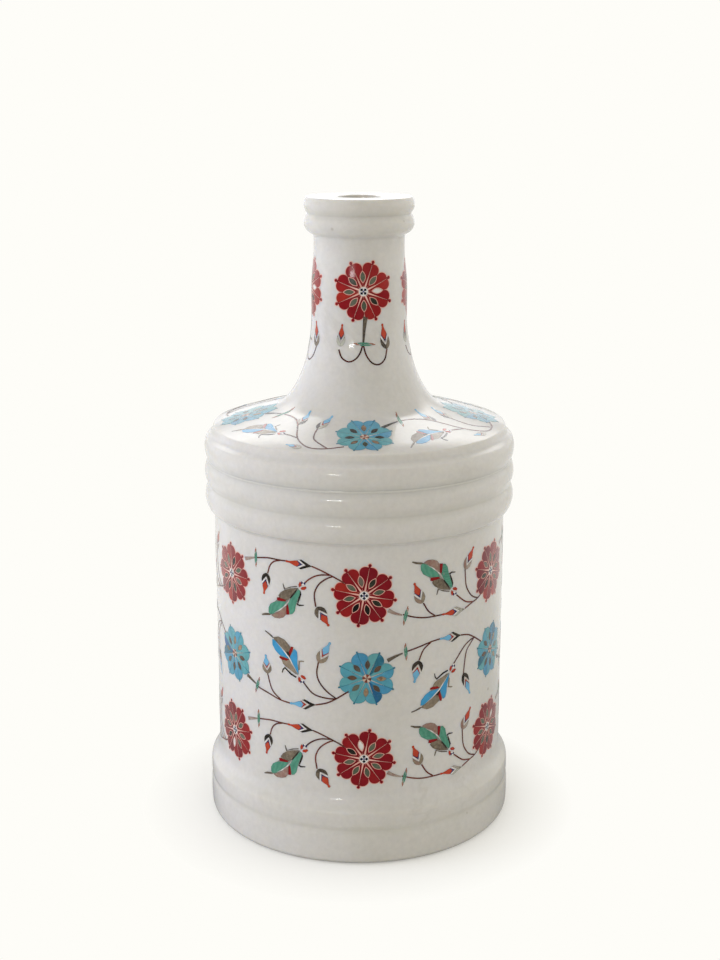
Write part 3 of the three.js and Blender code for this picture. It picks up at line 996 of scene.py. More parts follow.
def face_of(outline, reach):
    """Flat corners, triangles and edge distances of a chip's face."""
    corners = refined(outline, reach)
    pairs = zip(corners, corners[1:] + corners[:1])
    corners = [p for p, q in pairs if math.dist(p, q) > LEAST_SIDE]

    def clear(p, distance):
        return inside(p, corners) and edge_distance(p, corners) > distance

    loose = [p for p in moved_out(corners, -RIM_INSET) if clear(p, RIM_CLEARANCE * RIM_INSET)]
    columns, rows = (
        range(math.floor(min(values) / reach), math.ceil(max(values) / reach) + 1)
        for values in zip(*corners)
    )
    for i in columns:
        for j in rows:
            p = (i * reach + ROW_SHIFT * (j % 2), j * reach)
            if clear(p, RIM_INSET + ROW_CLEARANCE * reach):
                loose.append(p)
    count = len(corners)
    sides = [(i, (i + 1) % count) for i in range(count)]
    flat = [Vector(p) for p in corners + loose]
    points, _, triangles, _, _, _ = delaunay_2d_cdt(flat, sides, [], KEEP_INSIDE, SAME_POINT)
    points = [(p.x, p.y) for p in points]
    return points, triangles, [edge_distance(p, corners) for p in points]


def rim_of(triangles):
    """Sides that belong to one triangle only, in that triangle's direction."""
    sides = dict.fromkeys(s for a, b, c in triangles for s in ((a, b), (b, c), (c, a)))
    return [(a, b) for a, b in sides if (b, a) not in sides]


# How much higher a chip of the next order lies, and the order of a flower's cement bed
ORDER_STEP = 0.006
BED_ORDER = -4


class Tray:
    """Chips laid so far, by stone and by how the marble repeats them."""

    def __init__(self, sizes):
        self.depth, self.proud = mm(sizes.depth), mm(sizes.proud)
        self.stem, self.bed_width = mm(sizes.stem), mm(sizes.bed_width)
        self.random = random.Random(sizes.seed)
        self.batches = {}
        self.count = 0

    def lay(self, stone, spot, outline, tone=0.5, order=0):
        """Cuts one chip and lays it. Chips of a higher order lie a hair above the others."""
        flat = [spot.place(*p) for p in outline]
        if area(flat) < 0:
            flat.reverse()
        points, triangles, distances = face_of(flat, spot.field.reach)
        empty = {name: [] for name in ("corners", "faces", "chip", "tone", "edge")}
        batch = self.batches.setdefault((stone, spot.repeat), empty)
        start = len(batch["corners"])
        lift = self.proud + order * ORDER_STEP
        batch["corners"] += [spot.field.at(x, y, lift) for x, y in points]
        batch["faces"] += [tuple(start + i for i in triangle) for triangle in triangles]
        rim = rim_of(triangles)
        ring = {a: len(points) + i for i, (a, _) in enumerate(rim)}
        batch["corners"] += [spot.field.at(*points[a], -self.depth) for a, _ in rim]
        for side in rim:
            a, b = (start + i for i in side)
            low_a, low_b = (start + ring[i] for i in side)
            batch["faces"].append((b, a, low_a, low_b))
        following = dict(rim)
        loop = [rim[0][0]]
        while following[loop[-1]] != loop[0]:
            loop.append(following[loop[-1]])
        batch["faces"].append(tuple(start + ring[a] for a in reversed(loop)))
        if len(loop) != len(rim):
            raise ValueError(f"a chip of {stone} crosses itself")
        made = len(points) + len(rim)
        self.count += 1
        batch["chip"] += [self.count] * made
        batch["tone"] += [tone] * made
        batch["edge"] += distances + [0] * len(rim)

    def mesh(self, key):
        """The laid chips of one stone and repeat as a mesh."""
        batch = self.batches[key]
        mesh = bpy.data.meshes.new("chips")
        mesh.from_pydata(batch["corners"], [], batch["faces"])
        for name, kind in (("chip", "INT"), ("tone", "FLOAT"), ("edge", "FLOAT")):
            mesh.attributes.new(name, kind, "POINT").data.foreach_set("value", batch[name])
        return mesh


class WallField:
    """The drum's wall unrolled: across is the arc from the front, up is the height."""

    reach = 2.4

    def __init__(self, t):
        self.radius = mm(t.wall_radius)

    def surface(self, y):
        return self.radius

    def at(self, x, y, lift):
        angle, reach = x / self.radius, self.surface(y) + lift
        return Vector((reach * math.sin(angle), -reach * math.cos(angle), y)) * MM


class NeckField(WallField):
    """The neck unrolled at its straight part's radius."""

    reach = 1.5

    def __init__(self, t):
        self.radius = mm(t.neck_radius)
        self.outline = upper_outline(t)

    def surface(self, y):
        return between(self.outline, y, 1, 0)


# How far along a slope's fall is measured
SLOPE_STEP = 0.2


class ShoulderField:
    """The shoulder seen from above, its chips following the cone and the foot of the flare."""

    reach = 2.2

    def __init__(self, t):
        self.outline = upper_outline(t)

    def at(self, x, y, lift):
        radius = math.hypot(x, y)
        height = between(self.outline, radius, 0, 1)
        fall = height - between(self.outline, radius + SLOPE_STEP, 0, 1)
        slope = math.atan2(fall, SLOPE_STEP)
        reach = (radius + lift * math.sin(slope)) / radius
        return Vector((x * reach, y * reach, height + lift * math.cos(slope))) * MM


# Drawing flowers


PETALS = 8
PETAL_TURN = math.tau / PETALS
# The sizes below are shares of the flower's radius: its heart, the middle and radius of the round
# lobe of half a red petal, and the outer edge of half a blue one
HEART = 0.145
RED_LOBE = ((0.715, 0.092), 0.184)
BLUE_LOBE = [(0.93, 0.028), (0.914, 0.06), (0.902, 0.102), (0.877, 0.155), (0.837, 0.206),
             (0.786, 0.247), (0.735, 0.272)]


def on_ray(along, off):
    """A point beside the line between two petals, in shares of the flower, as a petal sees it."""
    return turned(along, -off, PETAL_TURN / 2)


def almond(start, end, half_width, steps=10):
    """Half of a lens between two places on a line: pairs of place and half width."""
    places = [i / steps for i in range(steps + 1)]
    return [(start + (end - start) * s, half_width * 4 * s * (1 - s)) for s in places]


def red_half():
    """Half of a red petal, in shares of the flower's radius along and across the petal."""
    midrib = [(0.152, 0.03), (0.34, 0.02), (0.52, 0.008), (0.62, 0.003), (0.9, 0.0015)]
    lobe = arc(*RED_LOBE, -13, 101, 14)
    lozenge = [on_ray(s, w) for s, w in reversed(almond(0.25, 0.655, 0.096))]
    return [*midrib, *lobe, on_ray(0.7, 0.006), *lozenge, on_ray(0.158, 0.006)]


# The knob at a petal's tip: its middle, its radius, its foot's half width and the foot's start
RED_NIB = (0.953, 0.05, 0.03, 0.88)
BLUE_NIB = (0.962, 0.028, 0.014, 0.915)
# Blue flowers have thinner cement round them
BLUE_BED = 1 / 3


def blue_half():
    """Half of a blue petal, broad and meeting its neighbours."""
    midrib = [(0.152, 0.006), (0.55, 0.004), (0.935, 0.002)]
    lozenge = [on_ray(s, w) for s, w in reversed(almond(0.3, 0.655, 0.09))]
    notch = [on_ray(0.735, 0.003), on_ray(0.68, 0.003)]
    return [*midrib, *BLUE_LOBE, *notch, *lozenge, on_ray(0.158, 0.003)]


def mirrored(half):
    """A closed outline from its half on one side of a line."""
    return half + [(u, -v) for u, v in reversed(half)]


def nib(reach, radius, waist, foot):
    """The round knob at a petal's tip, on a narrow foot that overlaps both halves of the petal."""
    half = [(foot, waist), (reach - radius * 0.9, waist), *arc((reach, 0), radius, 130, 10, 6)]
    return mirrored(half)


def red_rim():
    """Outer edge of half a red petal, from its tip round to the notch beside it."""
    return [*arc((RED_NIB[0], 0), RED_NIB[1], 0, 125, 6), *arc(*RED_LOBE, -13, 101, 12)]


def blue_rim():
    """Outer edge of half a blue petal, from its tip round to the notch beside it."""
    return [*arc((0.962, 0), 0.026, 0, 120, 4), *BLUE_LOBE, on_ray(0.735, 0)]


# Shades of the flowers that face the front, petal by petal from the one right of the middle,
# turning left: the lower and upper half of each petal, then the lozenges that follow the petals
FRONT_SHADES = {
    "upper": ([.3, .25, .15, .15, .62, .3, .97, .5, .45, .66, .25, .15, .3, .12, .62, .42],
              [.16, .5, .38, .34, 0, .02, .16, .32]),
    "middle": ([.56, .14, .84, .04, .68, .66, .3, .38, .16, .34, .06, .24, .42, .96, .68, .4],
               [.72, .62, .6, .72, .42, .85, .66, .83]),
    "lower": ([.5, .4, .4, .3, .35, .6, .4, .5, .35, .3, .4, .35, .6, .35, .45, .3],
              [.38, 1, .08, .4, .32, .3, .36, .41]),
    "neck": ([.85, .75, .7, .65, .6, .5, .5, .7, 1, .5, .5, .45, .75, .65, .7, .55],
             [.38, .36, .2, .36, .41, .27, .15, 1]),
    "shoulder": ([.62, .3, .5, .6, .6, .4, .2, .16, .1, .1, .3, .5, .66, .5, .2, .1],
                 [.02, .8, .04, .03, .76, .2, .82, .03]),
}


# A petal's thin inlays, in shares of the flower: the red one's midrib, and the white foot and dark
# end of the blue one's
RED_RIB = [(0.15, 0.025), (0.32, 0.016), (0.5, 0.008), (0.6, 0.006), (0.86, 0.003)]
BLUE_FOOT = [(0.15, 0.013), (0.4, 0.009), (0.62, 0.003), (0.62, -0.003), (0.4, -0.008),
             (0.15, -0.011)]
BLUE_END = [(0.42, 0.003), (0.75, 0.008), (0.93, 0.011), (0.93, -0.01), (0.75, -0.007),
            (0.42, -0.003)]
# Blue petals whose white foot is cut broader, and how broad it and the others' are cut
BROAD_PETALS = (0, 6, 7)
BROAD, NARROW = 1.4, 0.8
# A red knob's tone as a share of its petal's
NIB_TONE = 0.6


def flower(tray, spot, kind, radius, turn, shades):
    """One flower: petals in halves with a midrib, lozenges between them, a heart and a bed."""
    tones, lozenge_tones = shades
    red = kind == "red"
    petal = "carnelian" if red else "turquoise"
    half, rim = (red_half(), red_rim()) if red else (blue_half(), blue_rim())
    lens = almond(0.285, 0.622, 0.075) if red else almond(0.315, 0.64, 0.08)
    lozenge = [on_ray(s, w) for s, w in lens] + [on_ray(s, -w) for s, w in lens[-2:0:-1]]
    bed = []
    for i in range(PETALS):
        angle = turn + i * PETAL_TURN

        def laid(points, side=1):
            return [turned(u * radius, v * radius * side, angle) for u, v in points]

        for side, tone in zip((-1, 1), tones[2 * i : 2 * i + 2]):
            tray.lay(petal, spot, laid(half, side), tone)
        bed += laid(list(reversed(rim)), -1)[:-1] + laid(rim)[:-1]
        tray.lay("lozenge stones", spot, laid(lozenge), lozenge_tones[i], 1)
        if red:
            tray.lay("rose quartz", spot, laid(mirrored(RED_RIB)), tray.random.random(), 1)
            tray.lay(petal, spot, laid(nib(*RED_NIB)), tones[2 * i] * NIB_TONE, 1)
        else:
            width = BROAD if i in BROAD_PETALS else NARROW
            foot = [(u, v * width) for u, v in BLUE_FOOT]
            tray.lay("mother of pearl", spot, laid(foot), 0.4, 1)
            tray.lay(petal, spot, laid(BLUE_END), 0.86, 1)
            tray.lay(petal, spot, laid(nib(*BLUE_NIB)), 0.82, 2)
    bed = moved_out(bed, tray.bed_width * (1 if red else BLUE_BED))
    tray.lay("cement", spot, bed, 0.0 if red else 1.0, BED_ORDER)
    heart(tray, spot, radius * HEART, red, math.pi / 4 if spot.repeat == "neck" else 0)


# In the middle of a red flower, in shares of the heart's radius: a dark kite, and the reach of the
# small square between the kites
KITE = [(0.14, 0), (0.55, 0.36), (0.92, 0), (0.55, -0.36)]
SQUARE = 0.24


def heart(tray, spot, radius, red, turn):
    """A flower's round middle: pearl with four dark kites, or cream and red-brown wedges."""
    if red:
        tray.lay("mother of pearl", spot, arc((0, 0), radius, 0, 345, 23), 0.55, 2)
        for i in range(4):
            kite = [turned(u * radius, v * radius, turn + i * math.pi / 2) for u, v in KITE]
            tray.lay("lapis", spot, kite, 0.04, 3)
        square = arc((0, 0), SQUARE, 45, 315, 3)
        centre = [turned(u * radius, v * radius, turn) for u, v in square]
        tray.lay("lapis", spot, centre, 0.85, 4)
        return
    for i in range(PETALS):
        wedge = [(0, 0), *arc((0, 0), radius, 45 * i + 10, 45 * i + 55, 4)]
        stone, tone = ("brown jasper", 0.8) if i % 2 else ("mother of pearl", 0.1)
        tray.lay(stone, spot, wedge, tone, 2)


# Drawing vines


# Length of a step along a drawn line
LINE_STEP = 1.2


def smooth(points):
    """Points along a smooth line through a few given ones."""
    knots = [Vector(p) for p in points]
    knots = [2 * knots[0] - knots[1], *knots, 2 * knots[-1] - knots[-2]]
    line = []
    for before, start, end, after in zip(knots, knots[1:], knots[2:], knots[3:]):
        steps = max(1, math.ceil((end - start).length / LINE_STEP))
        for i in range(steps):
            s = i / steps
            bend = 2 * before - 5 * start + 4 * end - after
            twist = 3 * start - before - 3 * end + after
            line.append((2 * start + (end - before) * s + bend * s**2 + twist * s**3) / 2)
    return [*line, knots[-2]]


def ribbon(points, widths):
    """Outline of a strip along a smooth line, its width changing evenly through the given ones."""
    line = smooth(points)
    left, right = [], []
    for i, p in enumerate(line):
        along = line[min(i + 1, len(line) - 1)] - line[max(i - 1, 0)]
        square = Vector((-along.y, along.x)).normalized()
        place = i / (len(line) - 1) * (len(widths) - 1)
        low = min(int(place), len(widths) - 2)
        width = widths[low] + (widths[low + 1] - widths[low]) * (place - low)
        left.append(tuple(p + square * width / 2))
        right.append(tuple(p - square * width / 2))
    return right + left[::-1]


def framed(base, tip, points, flip=1):
    """Points along and across a line from a base to a tip, as flat points."""
    along = (Vector(tip) - Vector(base)).normalized()
    across = Vector((-along.y, along.x)) * flip
    return [tuple(Vector(base) + along * u + across * v) for u, v in points]


# Stones of a bud by row: those of its chevrons with their tones, and of its tip
BUD_STONES = {
    "red": ((("mother of pearl", 0.8), ("lapis", 0.5)), ("orange jasper", 0.45)),
    "blue": ((("mother of pearl", 0.4), ("orange jasper", 0.2)), ("sky stone", 0.72)),
}


# Half of a bud's cup, in shares of its length and its half width
ROUND_CUP = [(0, 0), (0.02, 0.3), (0.09, 0.68), (0.2, 0.96), (0.33, 1), (0.48, 0.86), (0.3, 0.46),
             (0.15, 0)]
POINTED_CUP = [(0, 0), (0.08, 0.13), (0.18, 0.36), (0.3, 0.7), (0.42, 1), (0.52, 0.86), (0.38, 0.4),
               (0.25, 0)]
# The two chevrons: where each one's foot and shoulder lie and how far it reaches to the side, then
# how much thicker it is at the foot and at the shoulder
CHEVRONS = [(0.015, 0.49, 0.82), (0.125, 0.565, 0.67)]
CHEVRON_FOOT = 0.09
CHEVRON_SHOULDER = (0.065, -0.13)
TIP_START = 0.23
BUD_TIP = [(0.56, 0.56), (0.64, 0.58), (0.73, 0.4), (0.82, 0.23), (0.9, 0.17), (0.93, 0.23),
           (0.97, 0.22), (1, 0.12)]


def bud(tray, spot, row, base, tip, half_width, cup, half_cup):
    """A bud: a cup in two halves, two chevrons of stone, and a drop that ends in a small nub."""
    length = math.dist(base, tip)
    chevrons, (drop_stone, drop_tone) = BUD_STONES[row]
    filled = half_cup[-1][0]

    def drawn(shares, side=1):
        return framed(base, tip, [(u * length, v * half_width * side) for u, v in shares])

    for side, tone in zip((1, -1), cup):
        tray.lay("slate", spot, drawn(half_cup, side), tone)
    for i, ((stone, tone), (foot, shoulder, side)) in enumerate(zip(chevrons, CHEVRONS)):
        upper = (shoulder + CHEVRON_SHOULDER[0], side + CHEVRON_SHOULDER[1])
        arm = [(filled + foot, 0), (shoulder, side), upper, (filled + foot + CHEVRON_FOOT, 0)]
        tray.lay(stone, spot, drawn(arm + [(u, -v) for u, v in arm[2:0:-1]]), tone, i)
    drop = [(filled + TIP_START, 0), *mirrored(BUD_TIP)]
    tray.lay(drop_stone, spot, drawn(drop), drop_tone, 2)


# A tie's two slivers: how far each lies to the side and along, and how much its ends bow in
TIE_SIDES = ((-0.58, 0.05), (0.58, -0.05))
TIE_BOW = 0.7
TIE_BODY = [(0.13, 0), (0.32, 0.36), (0.68, 0.36), (0.87, 0), (0.68, -0.36), (0.32, -0.36)]
TIE_END = [(0, -0.16), (0.15, -0.2), (0.2, 0), (0.15, 0.2), (0, 0.16)]


def tie(tray, spot, start, end):
    """The band where a stalk meets its stem: two green slivers side by side with warm tips."""
    length = math.dist(start, end)
    far_end = [(1 - u, v) for u, v in TIE_END]
    for side, shift in TIE_SIDES:
        for shape in (TIE_BODY, TIE_END, far_end):
            bow = [(u, v + side * (1 - abs(2 * u - 1) * TIE_BOW)) for u, v in shape]
            points = [((u + shift) * length, v) for u, v in bow]
            stone, tone = ("malachite", 0.5) if shape is TIE_BODY else ("orange jasper", 0.7)
            tray.lay(stone, spot, framed(start, end, points), tone, 2)


# Chips of a leaf from its stalk to its tip, in millimetres along and across it. Each has its stone,
# its tone and its order. The two drawings are the leaves of the red rows and of the blue ones
LEAVES = {
    "red": [
        ("cement", 0.5, -2, [(0.4, -0.2), (4, -2.1), (7, -2.9), (10, -3), (12.6, -1.6), (16, -1.4),
            (19, -1.4), (21.4, 0), (21.4, 3), (20, 4.6), (16, 6.4), (13.6, 6.3), (11, 7.4),
            (8.6, 7), (4.4, 3.8), (0.6, 1.2)]),
        ("slate", 0.38, 0, [(0.6, -0.4), (4, -2.2), (6.9, -3.1), (9.6, -3.3), (11.8, -2.7),
            (11.8, -1.4), (9.2, 1.2), (7.6, 1.6), (5.4, 0.8), (3, 0.2)]),
        ("slate", 0.08, 1, [(0.5, -0.2), (3, 0.1), (5.8, 0.8), (8.2, 1.7), (6.2, 1.6), (3.2, 1)]),
        ("carnelian", 0.6, 0, [(13.2, -2.4), (12, -1.9), (9.2, 1.2), (10.3, 1.4), (13.1, -0.5),
            (13.9, -1.3)]),
        ("malachite", 0.5, 0, [(9.8, 1.6), (12.9, -0.2), (15.6, -1.5), (18.4, -1.8), (20.6, -0.9),
            (22, 0.8), (21.9, 2), (19.4, 2.8), (15.4, 3), (11.8, 2.5)]),
        ("slate", 0.3, 0, [(26.6, -0.4), (24.4, 0.1), (22, 1.4), (20.4, 2.5), (22.4, 2.3),
            (24.6, 1.1), (26.7, 0.2)]),
        ("slate", 0.7, 0, [(19.8, 2.9), (21.5, 2.9), (20.6, 4.6), (18.4, 6.2), (16, 6.9),
            (14.1, 6.5), (12.6, 5), (11.1, 3.3), (13, 3.2), (16.4, 3.4)]),
        ("carnelian", 0.6, 0, [(9.9, 3), (10.7, 4.7), (12.4, 7.4), (13.9, 6.6), (12.6, 5),
            (11.1, 3.3)]),
        ("malachite", 0.5, 0, [(0.6, 0.4), (4.2, 1.1), (7.4, 1.9), (9.6, 2.8), (10.6, 4.8),
            (12.2, 7.4), (10.9, 8), (8.9, 7.5), (6.7, 5.7), (4.2, 4), (1.6, 2.6), (0.3, 1.3)]),
        ("mother of pearl", 0.8, 2, [(6.8, 1.3), (9, 2.1), (12.2, 2.7), (15.6, 2.8), (19.6, 2.6),
            (15.6, 3.35), (11.9, 3.2), (9, 2.6)]),
        ("slate", 0.04, 1, [(0.2, 1.3), (0.9, 3), (3, 4.4), (5.3, 5.6), (5, 4.7), (3.3, 3.6),
            (1.6, 2.6)]),
        ("slate", 0.1, 1, [(5.5, 5), (4.9, 6.2), (3.1, 7.5), (3.2, 7.9), (5.4, 6.8), (6.1, 5.6)]),
        ("slate", 0.4, 0, [(0.5, -0.9), (3.4, -2.3), (6.6, -3.3), (6.8, -3.6), (3.4, -2.8),
            (0.4, -1.4)]),
        ("slate", 0.3, 1, [(5.7, -5.9), (6.1, -4.6), (6.5, -3.2), (7.2, -3.3), (6.7, -4.7),
            (6.1, -6)]),
    ],
    "blue": [
        ("cement", 0.5, -2, [(0.4, 0), (1.4, -0.8), (4.4, -1.7), (8.6, -2.6), (11.4, -1.8),
            (13.4, -1.3), (16, -1.7), (18.8, -1.2), (20.6, 0.4), (19.6, 4.2), (16.6, 5.8),
            (12.2, 6.4), (9.4, 7.2), (4.9, 3.5)]),
        ("slate", 0.43, 0, [(21.3, 1.3), (19.9, 4.3), (16.9, 6), (13.8, 6.2), (12.1, 5.7),
            (11.4, 3.8), (12.2, 2.4), (16.4, 1.9), (19.9, 1.3)]),
        ("slate", 0.05, 1, [(12.2, 2.5), (11.5, 3.7), (8.9, 2.6), (9.3, 2)]),
        ("carnelian", 0.8, 0, [(12.6, 6.7), (11.6, 7.4), (10.7, 5.8), (9.5, 2.9), (11.4, 3.6),
            (12.1, 5.6)]),
        ("sky stone", 0.3, 0, [(21, 0.4), (19, -1.5), (16, -2), (13.3, -1.6), (11.1, -0.1),
            (8.9, 1.5), (11.2, 2), (14.9, 1.9), (19.2, 1.4)]),
        ("mother of pearl", 0.8, 2, [(19.2, 1.3), (14.8, 2.15), (9.2, 2.25), (4.6, 1.15),
            (0.3, 0.1), (4.8, 0.7), (9.2, 1.6), (14.7, 1.65)]),
        ("sky stone", 0.3, 0, [(10.8, 7.3), (9.3, 7.6), (7.3, 6.2), (4.9, 3.7), (2.2, 1.8),
            (0.4, 0.3), (3.7, 0.9), (7.7, 1.9), (9.2, 2.6), (10.1, 5.1)]),
        ("carnelian", 0.8, 0, [(12.7, -2), (9.8, 0.6), (8.4, 1.4), (8.8, -0.2), (10.8, -2.1),
            (12.1, -2.6)]),
        ("slate", 0.5, 0, [(10.8, -2.2), (8.9, 0.2), (8.4, 1.4), (7.1, 1.3), (3.9, 0.5),
            (1.3, -0.7), (4.4, -1.7), (7, -2.7), (9, -2.9)]),
        ("slate", 0.3, 0, [(26, -0.8), (24, 0), (21.8, 0.7), (20.6, 1.3), (22.2, 1.5), (24.4, 0.6),
            (26.2, -0.3)]),
        ("slate", 0.08, 1, [(0.2, -1.3), (2.9, -2.4), (7, -3.1), (7.2, -3.7), (2.8, -3.3),
            (0, -2)]),
        ("slate", 0.12, 1, [(5.8, -6.4), (6.6, -4.8), (6.7, -3.3), (7.3, -3.2), (7.2, -4.9),
            (6.3, -6.5)]),
        ("slate", 0.5, 0, [(1.9, 1.7), (3.7, 3.2), (5, 4.9), (4.8, 5.5), (3.4, 3.9), (1.8, 2.4)]),
        ("slate", 0.5, 1, [(5.4, 4.9), (4.5, 6.3), (3.6, 7.2), (3.3, 6.8), (4.2, 5.8), (4.7, 4.8)]),
    ],
}
BERRIES = [
    [(-0.2, -0.2), (-0.9, -1.5), (-2.3, -2.2), (-2.6, -1.4), (-1.7, -0.2)],
    [(-0.5, 0.6), (-1.5, 0.4), (-3.2, 1.1), (-3.3, 2), (-1.7, 2.2), (-0.6, 1.4)],
]
BEAD_PLACE = (-3.3, -0.7)
BEAD_RADIUS = 1.1
# How far a leaf chip's tone may be from the drawing's
LEAF_CHANGE = 0.03


def leaf(tray, spot, row, base, tip, flip=1):
    """A leaf of several stones, with two berries and a quartered bead where the stem meets it."""
    for stone, tone, order, points in LEAVES[row]:
        tone += tray.random.uniform(-LEAF_CHANGE, LEAF_CHANGE)
        tray.lay(stone, spot, framed(base, tip, points, flip), tone, order)
    for points in BERRIES:
        tray.lay("orange jasper", spot, framed(base, tip, points, flip), 0.3, 2)
    for i in range(4):
        wedge = [BEAD_PLACE, *arc(BEAD_PLACE, BEAD_RADIUS, 90 * i, 90 * i + 90, 3)]
        stone, tone = (("mother of pearl", 0.8), ("lapis", 0.4))[i % 2]
        tray.lay(stone, spot, framed(base, tip, wedge, flip), tone, 3)


# A vine between two flowers, drawn hanging, in millimetres from the flower on its right. Each bud
# has its base, its tip, half its width and the tones of its cup's halves
Vine = namedtuple("Vine", "row stalk tie stems buds leaf")

VINES = {
    "red hanging": Vine(
        "red",
        [(-62.0, 10.2), (-59, 11.1), (-55.2, 12.2)],
        [(-54.6, 16.7), (-54.3, 8.3)],
        [
            [(-54.4, 12.4), (-47, 13.7), (-40.8, 13.8), (-36.4, 13.9)],
            [(-24, 12.9), (-20.1, 11.5), (-14.3, 8.9), (-8.8, 5.9)],
            [(-40, 13.7), (-43.4, 12.6), (-45.8, 10.2), (-47.2, 6.2)],
            [(-15.2, 9.4), (-19.6, 9.2), (-22.8, 8.2), (-25.6, 6.4), (-27.6, 4.4)],
            [(-14.2, 8.8), (-16.9, 7.7), (-20.2, 5.2), (-22.1, 2.3), (-22.9, -1), (-22.2, -6.2)],
        ],
        [
            [(-23.4, 12.8), (-37.1, 13.9), 2.3, (0.02, 0.1)],
            [(-47.7, 6.2), (-49.7, -4.3), 2.6, (0.1, 0.02)],
            [(-21.6, -6.2), (-16.1, -15), 2.9, (0.2, 0.3)],
        ],
        [(-30.3, 1.9), (-50.4, -14.2)],
    ),
    "red rising": Vine(
        "red",
        [(-63.1, 7.3), (-60, 9), (-56.6, 10.1)],
        [(-53.7, 6.6), (-56, 14.7)],
        [
            [(-56.2, 9.9), (-50.5, 11.8), (-44.7, 12.8), (-36, 12.9)],
            [(-21.8, 12.9), (-16.8, 11.3), (-12.3, 10.2), (-7.4, 7.6)],
            [(-40.1, 12.6), (-43.5, 9.9), (-46.2, 5.6)],
            [(-16.4, 11), (-20.6, 10), (-23.4, 8.4), (-27.6, 5)],
            [(-12.3, 10.1), (-15.6, 8.8), (-18.4, 6.6), (-21.3, 1.8), (-22.3, -6.3)],
        ],
        [
            [(-21.7, 13.2), (-36, 12.9), 2.3, (0.92, 1)],
            [(-46.8, 5.6), (-50.9, -4.6), 2.7, (0.5, 0.6)],
            [(-22.3, -6.2), (-16.3, -16), 2.7, (0.85, 0.7)],
        ],
        [(-30.9, 1.7), (-51.4, -14.4)],
    ),
    "blue rising": Vine(
        "blue",
        [(-63.4, 7.6), (-60, 9), (-57, 10.3)],
        [(-54.6, 6.8), (-57.5, 14.3)],
        [
            [(-56.6, 10.6), (-55.1, 11.5), (-48.5, 13), (-42.5, 14.6), (-36.4, 15.3)],
            [(-23.8, 14.1), (-18.7, 12.7), (-14.7, 10.6), (-8.3, 6.3)],
            [(-41.8, 14.6), (-46.8, 10.6), (-49.4, 3.2)],
            [(-14.4, 10.4), (-19.6, 10.2), (-25.2, 8.6), (-29.6, 4)],
            [(-14.2, 10.1), (-18.6, 6.8), (-22, 2.6), (-23.2, -1.8), (-22.4, -7)],
        ],
        [
            [(-23.4, 14.1), (-36.9, 15.3), 2.5, (0.03, 0.12)],
            [(-49.5, 3.2), (-50.5, -6), 2.8, (0.45, 0.5)],
            [(-22.2, -6.8), (-16.7, -17.2), 2.7, (0.55, 0.6)],
        ],
        [(-32.1, 0.8), (-49.2, -17.2)],
    ),
    "blue hanging": Vine(
        "blue",
        [(-64.6, 8.3), (-61, 10), (-57.4, 11.3)],
        [(-56.3, 15.6), (-55.5, 8)],
        [
            [(-56, 11.8), (-50, 13.2), (-43.5, 14.8), (-38.4, 15.4)],
            [(-25.6, 14.5), (-20.4, 13.3), (-15.9, 10.9), (-9.9, 7)],
            [(-43.2, 14.7), (-47.1, 11.6), (-49.4, 6.6)],
            [(-16.2, 10.8), (-19.6, 10), (-23.7, 7.8), (-29.9, 1.4)],
            [(-15.9, 10.6), (-19.2, 8), (-21.8, 4.6), (-23.4, -5.4)],
        ],
        [
            [(-25.2, 14.4), (-38.4, 15.4), 2.4, (0.04, 0.08)],
            [(-49.4, 6.6), (-51.6, -4), 2.8, (0.1, 0.14)],
            [(-23.4, -5.2), (-18.3, -17), 2.4, (0.1, 0.05)],
        ],
        [(-32.3, -2.4), (-50.6, -17.2)],
    ),
}

# The shoulder's vine has degrees of azimuth from the flower on its right, and radii from the axis
SHOULDER_VINE = Vine(
    "blue",
    [(-74, 47), (-68, 44.2), (-62.4, 42.4)],
    [(-59.4, 36.6), (-61.4, 47.2)],
    [
        [(-61.8, 42.2), (-56, 41.9), (-50.6, 42.2), (-44.3, 43.8), (-39, 47.4)],
        [(-39.4, 47), (-36.2, 50.9), (-32.1, 57.1), (-28.4, 61.5), (-24.2, 65), (-20.5, 66.4),
         (-14.7, 65.8), (-8.6, 63.7)],
        [(-31.4, 58.6), (-35.2, 57.6), (-40, 57)],
        [(-14.9, 65.8), (-19.3, 61.9), (-23, 58.3), (-24.6, 53.5), (-25.2, 49)],
    ],
    [
        [(-38.6, 47.6), (-41, 36.2), 2.4, (0.9, 0.15)],
        [(-25.3, 49), (-21.5, 37.4), 2.5, (0.15, 0.95)],
        [(-25.4, 66.8), (-32.8, 65.3), 1.7, (0.9, 0.9)],
    ],
    [(-43.6, 56.8), (-66.4, 65.4)],
)
# Degrees between the two shoulder flowers that this vine is drawn between
SHOULDER_SPAN = 84.5
# How a shoulder flower is drawn out up and down the slope, and how far it lies out from its node
SHOULDER_UP = 1.22
SHOULDER_DOWN = 0.9
SHOULDER_OUT = 0.7


# Widths along a stalk, from its foot
VINE_STALK = [1.9, 1.3, 0.7]
NECK_STALK = [2.2, 1.4, 0.8]
# Tones of stems, and of stalks by the row or the place of their vine
STEM_TONES = (0.3, 0.7)
NECK_STEM_TONE = 0.2
STALK_TONES = {"red": 0.8, "blue": 0.3, "shoulder": 0.06, "neck": 0.26}


def buds(tray, spot, drawing):
    """A drawing's buds. The first one of a wall vine has a pointed cup."""
    for i, (base, tip, half_width, cup) in enumerate(drawing.buds):
        half_cup = POINTED_CUP if i == 0 and spot.repeat == "wall" else ROUND_CUP
        bud(tray, spot, drawing.row, base, tip, half_width, cup, half_cup)


